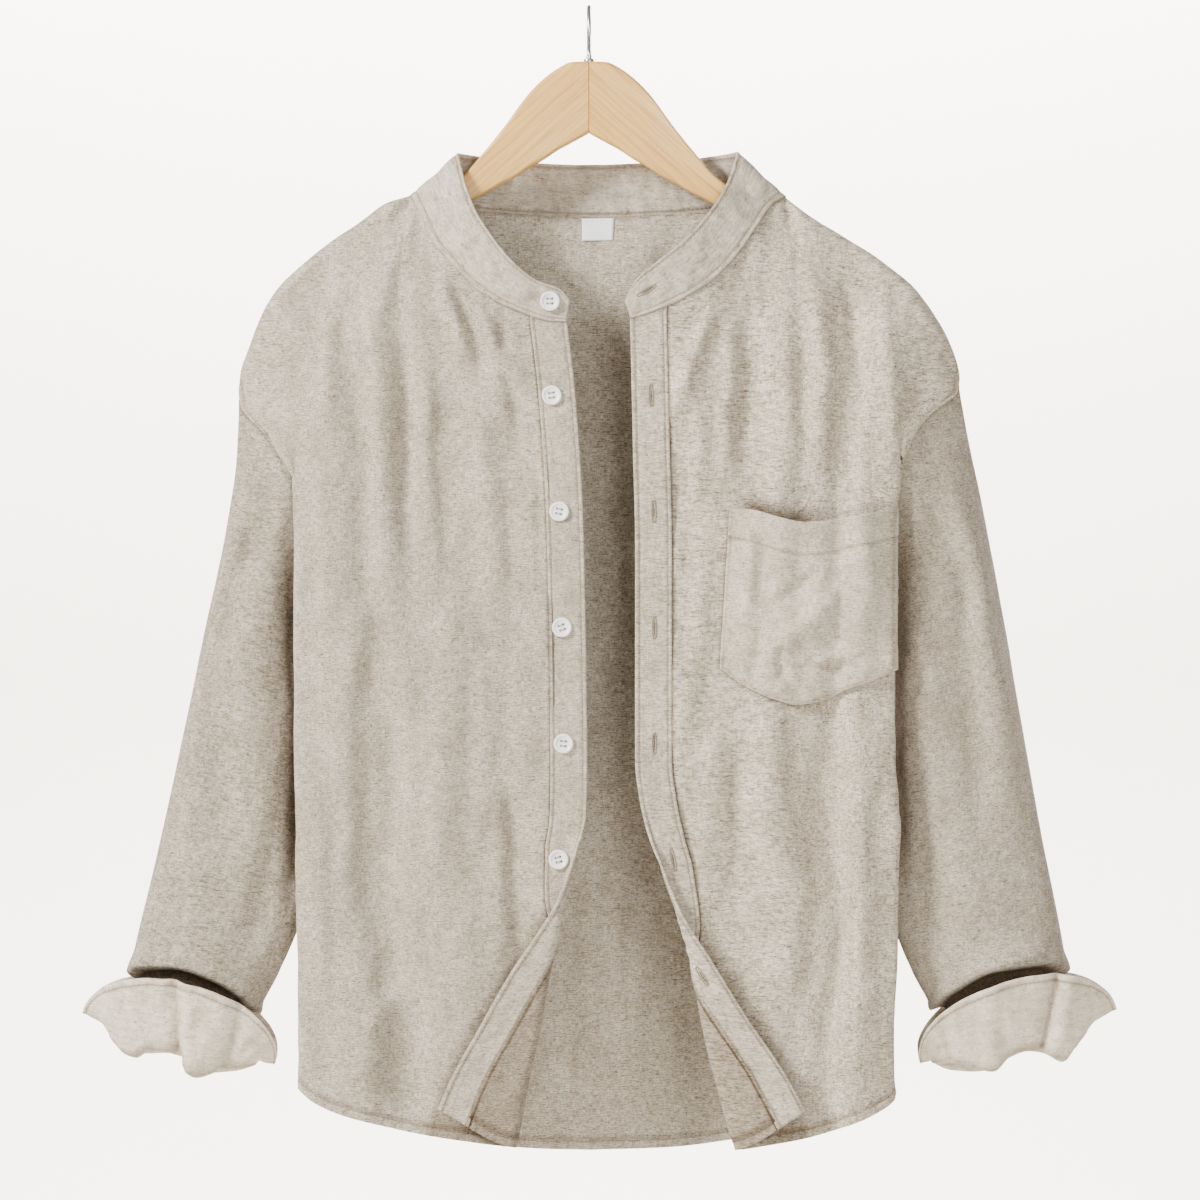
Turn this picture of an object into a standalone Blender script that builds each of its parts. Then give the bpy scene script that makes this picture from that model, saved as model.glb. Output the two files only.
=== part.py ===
"""Mandarin collar shirt hanging open on a wooden hanger.

The frame is the hook's: the origin is the inside top of the hook, where a rail carries it, +Z is up
and the shirt faces -Y.  Tables are in millimetres.  A table's column `o` is the distance outward
from the centre line, `y` is the depth (the front is negative) and `h` is the drop below the origin.
`right` and `left` are the wearer's sides: right lies at -X and carries the buttons.
"""

import math

import bmesh
import bpy
import numpy as np
from mathutils import Vector

MM = 0.001

# Driving dimensions, in millimetres.
CLOTH = 1.5  # wall of a single layer
DOUBLE = 2.2  # wall of the plackets, the collar and the cuffs
GAP = 0.3  # between pieces that are sewn or laid together
STRIP, STRIP_GAP = 28.0, 0.7  # width of both plackets, and the room beside their seam
TURNING = 105.0  # the cloth next to a front edge that can turn back
TURN_RADIUS = 6.0  # of the turned-back corner's fold
UNTURNED = -TURN_RADIUS * math.pi / 2
FLAP_LIFT = 0.05  # how fast a turned-back corner stands away from the front
SHOULDER_ROLL = 8.0  # radius of the cloth over the hanger
OUTLINE_GAP = 1.3  # more room at the neck and where the seam runs down the shirt's outline
PARTING = 2.0  # along the armhole the panels' edges stand out from the seam, and the sleeve's in
BUTTON_RADIUS = 7.5
BUTTON_THICK = 2.4
BUTTON_PITCH = 88.0
FIRST_BUTTON_H = 296.0
BUTTON_INSET = 18.0  # from the front edge
LAST_BUTTON_INSET = 12.5  # inside the turned-back corner, clear of its fold
BUTTON_RAISED = {4: 0.4}  # the button where the corner starts to turn sits on its rim
FRONT_BUTTONS = 6
COLLAR_BUTTON_ALONG, COLLAR_BUTTON_UP = 0.028, 0.55  # as shares of the collar
WIRE_RADIUS = 1.6
HOOK_INNER_RADIUS = 17.0
HOOK_FOOT_RADIUS = 4.0
HOOK_RISE = 40.0  # from the top of the wood to the inside top of the hook
HANGER_BOW, HANGER_REACH = 10.0, 220.0  # the arms' ends stand this far forward
LABEL_OFFSET, LABEL_WIDTH, LABEL_HEIGHT, LABEL_THICK = 5.0, 19.0, 17.0, 0.9
LABEL_START, LABEL_EASE = 1.5, 0.3  # below the collar's seam, and off the back
BACK_NECK_SCALE, BACK_DROP = 277.0, 717.0  # mm of the back panel at its centre for all of u and of v

# Stations across a front, from its edge (0) to the armhole and side seam (1).
U_TURNING, U_NECK, U_MIDDLE, U_NEAR, U_RIDGE, U_BEHIND = 0.36, 0.45, 0.58, 0.75, 0.82, 0.90
U_BEFORE_TURNING = 0.33
U_STRIP = U_TURNING * STRIP / TURNING
U_BACK_NECK, U_BACK_HALF = 0.42, 0.40
U_LEVEL = 0.66  # up to here both panels end level over the hanger
NEAR_RIDGE = 15.0  # from U_NEAR to the ridge

SIGN = {"right": -1, "left": 1}

FRONT_EDGE = {  # h, o of the edge or of the fold, cloth that is turned back
    "right": [
        (239, 16.7, UNTURNED),
        (295, 10.3, UNTURNED),
        (382, 4.6, UNTURNED),
        (482, 2.3, UNTURNED),
        (573, 1.2, UNTURNED),
        (614, 3.0, -6),
        (642, 9.5, 1),
        (683, 19.0, 11),
        (707, 23.0, 22),
        (732, 29.0, 33),
        (776, 37.2, 50),
        (817, 45.6, 64),
        (866, 55.0, 74),
    ],
    "left": [
        (236, 31.2, UNTURNED),
        (338, 33.4, UNTURNED),
        (411, 35.0, UNTURNED),
        (573, 35.0, UNTURNED),
        (600, 38.8, -7),
        (630, 46.5, -3),
        (660, 57.0, 2),
        (695, 68.5, 9),
        (719, 75.2, 18),
        (764, 84.0, 37),
        (815, 96.0, 59),
        (868, 110.5, 72),
    ],
}
RIDGE = {  # the fold down each side: h, o, y in front, y behind
    "right": [
        (215, 236, -15, 0),
        (255, 225, -29, 17),
        (300, 222, -36, 30),
        (480, 222, -39, 38),
        (820, 219, -38, 37),
    ],
    "left": [
        (215, 247, -15, 0),
        (255, 238, -29, 17),
        (300, 234, -36, 30),
        (480, 232, -39, 38),
        (830, 234, -38, 37),
    ],
}
FRONT_DEPTH = [  # h, y at the edge, y past the turning, y in the middle
    (140, -34, -30, -24),
    (240, -40, -36, -31),
    (340, -43, -39, -34),
    (480, -43, -40, -35),
    (640, -42, -40, -36),
    (870, -43, -41, -37),
]
BACK_DEPTH = [(140, 28, 26), (260, 34, 31), (480, 38, 35), (870, 40, 37)]  # h, y centre, y half way
ARMHOLE = {  # the shoulder's edge, the armhole seam, the side seam: h, o, y in front, y behind
    "right": [
        (196, 218, -9, -9),
        (212, 235, -10, -10),
        (230, 247, -11, -11),
        (255, 257, -12, -12),
        (283, 265, -12, -12),
        (301, 265.5, -12, -12),
        (327, 245, -26, 20),
        (350, 227, -31, 30),
        (375, 213, -23, 25),
        (415, 204, -12, 13),
        (474, 198, 0, 0),
        (560, 197, 0, 0),
        (700, 199, 0, 0),
        (815, 206, 0, 0),
    ],
    "left": [
        (199, 229.5, -10, -10),
        (213, 247, -11, -11),
        (232, 261.5, -12, -12),
        (256, 274.5, -12, -12),
        (279, 281, -12, -12),
        (290, 281.5, -12, -12),
        (312, 258, -26, 20),
        (336, 238, -31, 28),
        (362, 224, -23, 25),
        (402, 215, -12, 13),
        (462, 208, 0, 0),
        (560, 207, 0, 0),
        (700, 210, 0, 0),
        (820, 218, 0, 0),
    ],
}
ARMHOLE_H = {"right": (301, 474), "left": (290, 462)}  # its top and the underarm
SHOULDER = {  # from the neck point to the top of the armhole: o, y, h
    "right": [
        (134, -3, 142),
        (153.5, -5, 148.7),
        (173, -7, 163),
        (197.6, -8, 179.5),
        (218, -9, 195.8),
        (234.8, -10, 211.8),
        (247, -11, 230.4),
        (257, -12, 255),
        (265, -12, 283),
        (265.5, -12, 301),
    ],
    "left": [
        (148, -3, 143),
        (170, -6, 160),
        (191.5, -8, 173),
        (212.8, -9, 186),
        (229.5, -10, 198.5),
        (247, -11, 213.3),
        (261.4, -12, 232.3),
        (274.4, -12, 255.8),
        (281, -12, 279),
        (281.5, -12, 290),
    ],
}
NECK_FRONT = {  # from the centre front to the neck point: seam o, y, h, then free edge o, y, h
    "right": [
        (16.7, -40, 239.5, 14.5, -40, 224),
        (27, -40.5, 239, 21, -41, 216),
        (51, -41, 232, 39, -41.5, 209),
        (76, -40, 219.5, 59, -41, 193),
        (92, -37, 207, 69, -39, 181),
        (104, -33, 193.5, 77.5, -35, 169),
        (116, -26, 179.5, 85, -29, 157),
        (128, -13, 154, 94, -17, 134),
        (134, -3, 142, 99.5, -4, 110.5),
    ],
    "left": [
        (31.2, -40, 237, 27.5, -40, 224),
        (41, -40.5, 234, 33.5, -41, 211),
        (70, -41, 221.6, 51, -42, 195),
        (93, -38, 207, 72, -41, 178),
        (110, -32, 190, 86, -36, 163),
        (127, -24, 166, 99, -26, 145),
        (138, -12, 150, 108, -14, 127),
        (148, -3, 143, 113, -4, 109.5),
    ],
}
NECK_BACK = {  # from the neck point to the centre back, the same columns
    "right": [
        (134, -3, 142, 99.5, -4, 110.5),
        (112, 14, 148, 84, 12, 112),
        (70, 24, 154, 54, 22, 115.5),
        (0, 28, 157, 0, 26, 117.5),
    ],
    "left": [
        (148, -3, 143, 113, -4, 109.5),
        (121, 14, 148, 93, 12, 112),
        (75, 24, 154, 57, 22, 115.5),
        (0, 28, 157, 0, 26, 117.5),
    ],
}
FRONT_HEM = {  # u, h
    "right": [
        (0, 837),
        (0.26, 866),
        (0.36, 863),
        (0.5, 857),
        (0.65, 846),
        (0.76, 834),
        (0.83, 822),
        (1, 812),
    ],
    "left": [
        (0, 839),
        (0.26, 868),
        (0.36, 864),
        (0.5, 858),
        (0.65, 849),
        (0.76, 839),
        (0.83, 828),
        (1, 817),
    ],
}
BACK_HEM = {  # u, h
    "right": [(0, 874), (0.2, 872), (0.45, 862), (0.65, 848), (0.78, 834), (0.86, 824), (1, 812)],
    "left": [(0, 874), (0.2, 872), (0.45, 862), (0.65, 850), (0.78, 838), (0.86, 828), (1, 817)],
}
FRONT_FOLDS = {  # u at the top and the bottom, h at the top and the bottom, half width in u, height
    "right": [
        (0.41, 0.32, 190, 800, 0.060, 4.0),
        (0.56, 0.46, 200, 700, 0.070, 5.0),
        (0.68, 0.63, 230, 860, 0.060, 4.5),
        (0.49, 0.54, 520, 880, 0.065, -4.0),
    ],
    "left": [
        (0.40, 0.34, 190, 760, 0.060, 4.0),
        (0.55, 0.48, 200, 640, 0.060, 4.5),
        (0.69, 0.64, 230, 860, 0.060, 4.5),
        (0.52, 0.56, 540, 880, 0.065, -4.0),
    ],
}
BACK_FOLDS = [  # the same columns, with u on the right negative
    (-0.62, -0.52, 210, 860, 0.060, 5.0),
    (-0.30, -0.20, 230, 870, 0.070, 4.5),
    (0.05, 0.02, 260, 870, 0.060, -4.0),
    (0.34, 0.26, 230, 870, 0.070, 4.5),
    (0.64, 0.56, 210, 860, 0.060, 5.0),
]
SLEEVE = {  # along, outer fold's o and h, inner fold's o and h, y of the middle, half depth
    "right": [
        (0.00, 265.5, 301, 198, 474, 0, 28),
        (0.12, 268, 345, 206, 510, 0, 29),
        (0.28, 277, 400, 208, 548, 0, 29),
        (0.45, 291, 468, 209, 592, 0, 28),
        (0.62, 306, 540, 212, 636, 0, 26),
        (0.80, 328, 640, 219, 688, 0, 25),
        (0.92, 345, 710, 236, 730, 0, 24),
        (1.00, 354, 752, 258, 772, 0, 19),
    ],
    "left": [
        (0.00, 281.5, 290, 208, 462, 0, 28),
        (0.12, 290, 335, 217, 500, 0, 29),
        (0.28, 301, 385, 219, 540, 0, 29),
        (0.45, 314, 455, 220, 586, 0, 28),
        (0.62, 328, 535, 223, 634, 0, 26),
        (0.80, 346, 636, 230, 690, 0, 25),
        (0.92, 360, 708, 245, 730, 0, 24),
        (1.00, 367, 750, 268, 772, 0, 19),
    ],
}
SLEEVE_FOLDS = [  # round at the top and the bottom, along at the top and the bottom, half width, height
    (0.14, 0.20, 0.05, 0.80, 0.035, -6.0),
    (0.30, 0.34, 0.25, 0.95, 0.035, -4.0),
    (0.86, 0.80, 0.05, 0.80, 0.035, -6.0),
]
CUFF = {  # outer o and h, inner o and h
    "right": {"fold": (361, 781, 257, 806), "rim": (386, 765, 240, 806)},
    "left": {"fold": (375, 780, 266, 805), "rim": (402, 762, 253, 805)},
}
CUFF_SEAM, CUFF_TURN = 1.0, 3.2  # below the sleeve's end, and the radius of the fold
CUFF_DEPTH_FOLD, CUFF_DEPTH_RIM, CUFF_RISE = 20.0, 36.0, 44.0
CUFF_DROOP = {  # round, how far the fold at the bottom hangs lower
    "right": [
        (0, 0),
        (0.146, 14),
        (0.174, 6),
        (0.22, 4),
        (0.253, 4.5),
        (0.274, 16),
        (0.2935, 18),
        (0.354, 8),
        (0.42, 3),
        (0.5, 0),
        (0.62, 9),
        (0.70, 15),
        (0.76, 6),
        (0.86, 12),
        (1, 0),
    ],
    "left": [
        (0, 0),
        (0.11, 11.5),
        (0.138, 18.6),
        (0.183, 8),
        (0.223, 4),
        (0.258, 6),
        (0.297, 13.7),
        (0.348, 6.4),
        (0.42, 0),
        (0.5, 0),
        (0.60, 8),
        (0.69, 14),
        (0.77, 5),
        (0.87, 12),
        (1, 0),
    ],
}
DROOP_RINGS = (0, 0.7, 0.9, 1, 1, 1, 0.75, 0.3, 0)  # how much of that each ring takes
POCKET_H, POCKET_DEEP = 382.0, 121.0
POCKET_TOP = [(0, 382), (0.07, 382), (0.45, 392), (0.85, 385), (1, 381)]  # along, h
POCKET_BOTTOM = [  # along, h
    (0, 503),
    (0.14, 516),
    (0.3, 526),
    (0.44, 531),
    (0.6, 527),
    (0.76, 518),
    (0.95, 508),
    (1, 504),
]
POCKET_INNER = [(0, 107), (1, 99)]  # down, o
POCKET_EASE = 0.8  # over the panel's folds
POCKET_SWELL = [(0, 13), (0.25, 10), (0.6, 6.5), (0.9, 1.8), (1, 1.2)]  # down, how far it stands off
ARM_PROFILE = [  # o, top h, lower h, half thickness
    (0.15, 40, 95, 7.0),
    (13, 40.5, 102, 7.0),
    (24, 45.5, 108, 7.0),
    (33, 52, 114, 7.0),
    (45, 63.6, 121, 7.0),
    (54, 75, 127, 6.8),
    (62, 86.4, 131.5, 6.6),
    (71, 98, 136.5, 6.4),
    (80, 109, 141.5, 6.2),
    (98, 129, 151, 6.0),
    (115, 140.5, 160.5, 5.6),
    (134, 151, 170, 5.2),
    (155, 160, 179, 4.8),
    (165, 164, 183, 4.6),
    (175, 168, 187, 4.6),
    (190, 175, 193, 4.6),
    (198, 180, 198, 4.6),
    (206, 186, 203, 4.6),
    (215, 193, 209, 4.6),
    (220, 198, 209, 3.0),
]
ARM_CORNER = 3.2
ARM_SEAT = 2.8  # from the shoulder seam down to the wood, straight down the slope of the arm
ARM_CARRIES_TO = 212.0  # h where the shirt leaves the arm
ARM_DEEP = 10.0  # the least height of the wood

# Rows down the panels: above the underarm as shares of the armhole, and below it of the side seam.
ROLL_ROWS = (0, 0.0045, 0.014)
ARMHOLE_ROWS = (0.09, 0.18, 0.29, 0.41, 0.54, 0.69, 0.84)
SIDE_ROWS = (0, 0.13, 0.25, 0.36, 0.45, 0.53, 0.60, 0.64, 0.675, 0.71, 0.745, 0.79, 0.86, 0.93, 1)
STRIP_COLUMNS = (0, 5, 10, 15, 20, 25)  # from the front edge
TURNING_COLUMNS = (31, 37, 43, 49, 55, 61, 67, 73, 79, 87, 96, 105)
SHOULDER_COLUMNS = (0, 0.06, 0.17, 0.28, 0.39, 0.50, 0.58, 0.636, 0.68, 0.75, 0.87, 1)
NECK_COLUMNS = (0, 0.25, 0.5, 0.72, 0.9)  # from the centre back, as shares of the back neck
SLEEVE_RINGS = 13
ROUND_CUFF = 24
FOLD_DRAW, FOLD_REACH = 0.45, 0.04  # how far, and from where, columns close in on a turned corner's fold
LEAST_PULL, MOST_PULL = 0.4, 0.04  # what a piece gives up at a seam, in mm and as a share
SAMPLES = 160  # along a seam
STEP = 1e-4  # of a share, for slopes


# Curves and small sums

def monotone(xs, ys, at):
    """A smooth curve through points that doesn't overshoot them, held level past its ends."""
    at = np.clip(np.asarray(at, float), xs[0], xs[-1])
    step = np.diff(xs)
    slope = np.diff(ys) / step
    tangent = np.zeros(len(xs))
    tangent[0], tangent[-1] = slope[0], slope[-1]
    for k in range(1, len(xs) - 1):
        if slope[k - 1] * slope[k] > 0:
            before, after = 2 * step[k] + step[k - 1], step[k] + 2 * step[k - 1]
            tangent[k] = (before + after) / (before / slope[k - 1] + after / slope[k])
    k = np.clip(np.searchsorted(xs, at, side="right") - 1, 0, len(xs) - 2)
    t = (at - xs[k]) / step[k]
    bend = step[k] * (tangent[k] * t * (1 - t) ** 2 - tangent[k + 1] * t**2 * (1 - t))
    return ys[k] + (ys[k + 1] - ys[k]) * t**2 * (3 - 2 * t) + bend


def table(rows, column, at):
    """A column of a table, at a value of its first column, which rises."""
    rows = np.array(rows, float)
    return monotone(rows[:, 0], rows[:, column], at)


def along(rows, share):
    """The point at a share of the length of the line through a table's first three columns."""
    rows = np.array(rows, float)
    length = np.concatenate([[0], np.cumsum(np.linalg.norm(np.diff(rows[:, :3], axis=0), axis=1))])
    share = np.asarray(share, float) * length[-1]
    return np.stack([monotone(length, rows[:, k], share) for k in range(rows.shape[1])], axis=-1)


def smooth(value):
    value = np.clip(value, 0, 1)
    return value * value * (3 - 2 * value)


def through(stations, points, u):
    """Cardinal curves: each sample i has its own points[:, i] at the shared stations."""
    stations = np.array(stations)
    step = np.diff(stations)
    slope = np.diff(points, axis=0) / step.reshape(-1, 1, 1)
    tangent = np.empty_like(points)
    tangent[0], tangent[-1] = slope[0], slope[-1]
    for k in range(1, len(stations) - 1):
        share = step[k - 1] / (step[k - 1] + step[k])
        tangent[k] = slope[k - 1] * (1 - share) + slope[k] * share
    k = np.clip(np.searchsorted(stations, u, side="right") - 1, 0, len(step) - 1)
    sample = np.arange(len(u))
    t = ((u - stations[k]) / step[k]).reshape(-1, 1)
    wide = step[k].reshape(-1, 1)
    a, b = points[k, sample], points[k + 1, sample]
    into, out = tangent[k, sample] * wide, tangent[k + 1, sample] * wide
    return (
        a * (1 + 2 * t) * (1 - t) ** 2
        + b * t**2 * (3 - 2 * t)
        + into * t * (1 - t) ** 2
        - out * t**2 * (1 - t)
    )


def folds(rows, across, down):
    """The height of the soft folds at a place across and down a piece."""
    total = np.zeros_like(across)
    for top_u, low_u, top, low, half_width, height in rows:
        share = np.clip((down - top) / (low - top), 0, 1)
        centre = top_u + (low_u - top_u) * share
        ends = smooth(share / 0.2) * smooth((1 - share) / 0.2 + 0.35 * (height > 0))
        total += height * ends * np.exp(-(((across - centre) / half_width) ** 2))
    return total


def stack(side, o, y, h):
    return np.stack([SIGN[side] * o, y, -h], axis=-1)


# The body's surfaces: station u across, share v down

def turning(side, cloth, h):
    """The distance out and the depth of the cloth near a front edge, turned back where it is."""
    turned = table(FRONT_EDGE[side], 2, h)
    edge = table(FRONT_EDGE[side], 1, h)
    start = edge - TURN_RADIUS * np.clip(turned / UNTURNED, 0, 1)
    past = cloth - turned
    angle = np.clip(past / TURN_RADIUS, -math.pi / 2, math.pi / 2)
    beyond = np.maximum(np.abs(past) + UNTURNED, 0)
    o = start + TURN_RADIUS * (1 - np.cos(angle)) + beyond
    lift = FLAP_LIFT * np.where(past < 0, beyond, 0)
    share = np.clip((o - edge) / TURNING, 0, 1)
    depth = table(FRONT_DEPTH, 1, h) * (1 - share) + table(FRONT_DEPTH, 2, h) * share
    return o, depth - TURN_RADIUS * (1 - np.sin(angle)) - lift


def parting(side, h):
    top, underarm = ARMHOLE_H[side]
    return PARTING * smooth((h - top) / 25) * smooth((underarm + 25 - h) / 35)


def around_side(side, h, behind):
    """The stations past U_MIDDLE, round the side's ridge to the seam, and their places."""
    column = 3 if behind else 2
    away = 1 if behind else -1
    ridge_o, ridge_y = table(RIDGE[side], 1, h), table(RIDGE[side], column, h)
    seam_o, seam_y = table(ARMHOLE[side], 1, h), table(ARMHOLE[side], column, h)
    seam_y = seam_y + away * parting(side, h)
    return [
        (U_NEAR, ridge_o - NEAR_RIDGE, ridge_y + 0.5 * away),
        (U_RIDGE, ridge_o, ridge_y - 4 * away),
        (U_BEHIND, (ridge_o + seam_o) / 2 + 1, (ridge_y + seam_y) / 2),
        (1.0, seam_o, seam_y),
    ]


def place(stations, u):
    points = np.stack([np.stack([o, y], axis=-1) for _, o, y in stations])
    return through([s[0] for s in stations], points, u)


def front_across(side, u, h):
    o, y = turning(side, TURNING * np.minimum(u, U_TURNING) / U_TURNING, h)
    before = turning(side, np.full_like(h, TURNING * U_BEFORE_TURNING / U_TURNING), h)
    after = turning(side, np.full_like(h, TURNING), h)
    ridge = table(RIDGE[side], 1, h)
    middle = (U_MIDDLE, (after[0] + ridge) / 2, table(FRONT_DEPTH, 3, h))
    stations = [(U_BEFORE_TURNING, *before), (U_TURNING, *after), middle]
    outer = place(stations + around_side(side, h, False), np.maximum(u, U_TURNING))
    near_edge = u < U_TURNING
    return np.where(near_edge, o, outer[:, 0]), np.where(near_edge, y, outer[:, 1])


def collar_rows():
    """The collar's seam and free edge, from the right tab round the back to the left tab."""
    right = NECK_FRONT["right"] + NECK_BACK["right"][1:]
    left = NECK_FRONT["left"] + NECK_BACK["left"][1:-1]
    rows = [(-a, b, -c, -d, e, -f) for a, b, c, d, e, f in right]
    return np.array(rows + [(a, b, -c, d, e, -f) for a, b, c, d, e, f in reversed(left)], float)


def collar(f, w):
    """The collar: f along it, w up from the seam."""
    f, w = np.broadcast_arrays(np.asarray(f, float), np.asarray(w, float))
    line = along(COLLAR_ROWS, f)
    seam, free = line[..., :3], line[..., 3:]
    return seam + (free - seam) * w[..., None]


def neck_shares():
    """Where the two neck points and the centre back lie along the collar."""
    length = np.cumsum(np.linalg.norm(np.diff(COLLAR_ROWS[:, :3], axis=0), axis=1))
    right = len(NECK_FRONT["right"]) - 2
    centre = right + len(NECK_BACK["right"]) - 1
    left = centre + len(NECK_BACK["left"]) - 1
    rows = {"right": right, "centre": centre, "left": left}
    return {name: length[row] / length[-1] for name, row in rows.items()}


COLLAR_ROWS = collar_rows()
NECK_SHARES = neck_shares()


def neck_seam(f):
    """The neckline as distance out, depth and drop."""
    seam = collar(f, 0.0)
    return np.stack([np.abs(seam[:, 0]), seam[:, 1], -seam[:, 2]], axis=-1)


def front_top(side, u):
    """The top edge of a front: the neckline and then the shoulder."""
    shares = np.linspace(0 if side == "right" else 1, NECK_SHARES[side], 300)
    seam = neck_seam(shares)
    cloth = TURNING * np.minimum(u, U_TURNING) / U_TURNING
    to_neck = np.clip((u - U_TURNING) / (U_NECK - U_TURNING), 0, 1)
    o = seam[0, 0] + cloth
    o = o + (seam[-1, 0] - o) * to_neck
    neck = neck_seam(np.interp(o, seam[:, 0], shares))
    shoulder = along(SHOULDER[side], np.clip((u - U_NECK) / (1 - U_NECK), 0, 1))
    shoulder[:, 1] -= shoulder_gap(u)
    return np.where((u < U_NECK)[:, None], neck, shoulder)


def shoulder_gap(u):
    """Half the room between the panels: side by side at the neck, end to end over the hanger, and
    meeting at a fold further out."""
    return GAP / 2 + OUTLINE_GAP * (1 - smooth((u - U_BACK_NECK) / 0.09) + smooth((u - 0.72) / 0.13))


def hang(base, top, hem, u, v, away):
    """Lets a panel fall from its top edge into its own section: base(h) gives o and y."""
    roll = SHOULDER_ROLL * smooth((u - U_NECK) / 0.05) * (1 - smooth((u - U_RIDGE) / 0.18))
    settle = 50 - 26 * smooth((u - U_NEAR) / (U_BEHIND - U_NEAR))
    h = top[:, 2] + (hem - top[:, 2]) * v
    drop = h - top[:, 2]
    start_o, start_y = base(top[:, 2])
    o, y = base(h)
    o = o + (top[:, 0] - start_o) * np.exp(-drop / settle)
    y = y + (top[:, 1] + away * roll - start_y) * np.exp(-drop / 45)
    near = 1 - np.clip(drop / np.maximum(roll, 1e-6), 0, 1)
    return o, y - away * roll * (1 - np.sqrt(1 - near**2)), h


def front(side):
    def surface(u, v):
        u, v = np.broadcast_arrays(np.asarray(u, float), np.asarray(v, float))
        shape, u, v = u.shape, u.ravel(), v.ravel()
        top = front_top(side, u)
        hem = table(FRONT_HEM[side], 1, u)
        o, y, h = hang(lambda h: front_across(side, u, h), top, hem, u, v, -1)
        y = y - folds(FRONT_FOLDS[side], u, h)
        return stack(side, o, y, h).reshape(*shape, 3)

    return surface


def back_across(side, u, h):
    ridge = table(RIDGE[side], 1, h)
    half = table(BACK_DEPTH, 2, h)
    stations = [
        (-U_BACK_HALF, -ridge / 2, half),
        (0.0, np.zeros_like(h), table(BACK_DEPTH, 1, h)),
        (U_BACK_HALF, ridge / 2, half),
    ]
    place_at = place(stations + around_side(side, h, True), u)
    return place_at[:, 0], place_at[:, 1]


def back(u, v):
    """The back panel: u runs from the right side seam (-1) to the left one (1)."""
    u, v = np.broadcast_arrays(np.asarray(u, float), np.asarray(v, float))
    shape, u, v = u.shape, u.ravel(), v.ravel()
    result = np.empty((len(u), 3))
    for side, chosen in (("right", u < 0), ("left", u >= 0)):
        if not chosen.any():
            continue
        a, b = np.abs(u[chosen]), v[chosen]
        to_neck = (NECK_SHARES[side] - NECK_SHARES["centre"]) * np.clip(a / U_BACK_NECK, 0, 1)
        neck = neck_seam(NECK_SHARES["centre"] + to_neck)
        shoulder = along(SHOULDER[side], np.clip((a - U_BACK_NECK) / (1 - U_BACK_NECK), 0, 1))
        shoulder[:, 1] += shoulder_gap(a)
        top = np.where((a < U_BACK_NECK)[:, None], neck, shoulder)
        hem = table(BACK_HEM[side], 1, a)
        o, y, h = hang(lambda h: back_across(side, a, h), top, hem, a, b, 1)
        result[chosen] = stack(side, o, y + folds(BACK_FOLDS, u[chosen], h), h)
    return result.reshape(*shape, 3)


# The sleeves: s round from the outer fold by the front, t along

def armhole(side, s):
    """The sleeve's end at the armhole: s round it, down the front and up the back."""
    h = np.linspace(*ARMHOLE_H[side], 60)
    o = table(ARMHOLE[side], 1, h)
    ahead, behind = table(ARMHOLE[side], 2, h), table(ARMHOLE[side], 3, h)
    inside = np.minimum(parting(side, h), 0.3 * (behind - ahead))
    front_half = along(np.stack([o, ahead + inside, h], axis=-1), np.clip(2 * s, 0, 1))
    back_half = along(np.stack([o, behind - inside, h], axis=-1), np.clip(2 - 2 * s, 0, 1))
    return np.where((s <= 0.5)[..., None], front_half, back_half)


def ring(outer_o, outer_h, inner_o, inner_h, middle_y, half_depth, s):
    """A flattened ring between an outer and an inner fold."""
    turn = 2 * math.pi * s
    out, forward = np.cos(turn), np.sin(turn)
    forward = np.sign(forward) * np.abs(forward) ** 0.85
    o = (outer_o + inner_o) / 2 + (outer_o - inner_o) / 2 * out
    h = (outer_h + inner_h) / 2 + (outer_h - inner_h) / 2 * out
    return np.stack([o, middle_y - half_depth * forward, h], axis=-1)


def sleeve_ring(side, s, t):
    rows = SLEEVE[side]
    outer_o, outer_h, inner_o, inner_h, middle_y, half_depth = (table(rows, k, t) for k in range(1, 7))
    free = ring(outer_o, outer_h, inner_o, inner_h, middle_y, half_depth, s)
    share = (1 + np.cos(2 * math.pi * s)) / 2
    first = rows[0]
    move_o = (outer_o - first[1]) * share + (inner_o - first[3]) * (1 - share)
    move_h = (outer_h - first[2]) * share + (inner_h - first[4]) * (1 - share)
    sewn = armhole(side, s) + np.stack([move_o, np.zeros_like(s), move_h], axis=-1)
    blend = smooth(t / 0.35)[..., None]
    return sewn * (1 - blend) + free * blend


def sleeve(side):
    def surface(s, t):
        s, t = np.broadcast_arrays(np.asarray(s, float) % 1.0, np.asarray(t, float))
        shape, s, t = s.shape, s.ravel(), t.ravel()
        point = sleeve_ring(side, s, t)
        height = folds(SLEEVE_FOLDS, s, t)
        point[:, 1] += np.where(s < 0.5, -1, 1) * height
        return stack(side, point[:, 0], point[:, 1], point[:, 2]).reshape(*shape, 3)

    return surface


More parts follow.
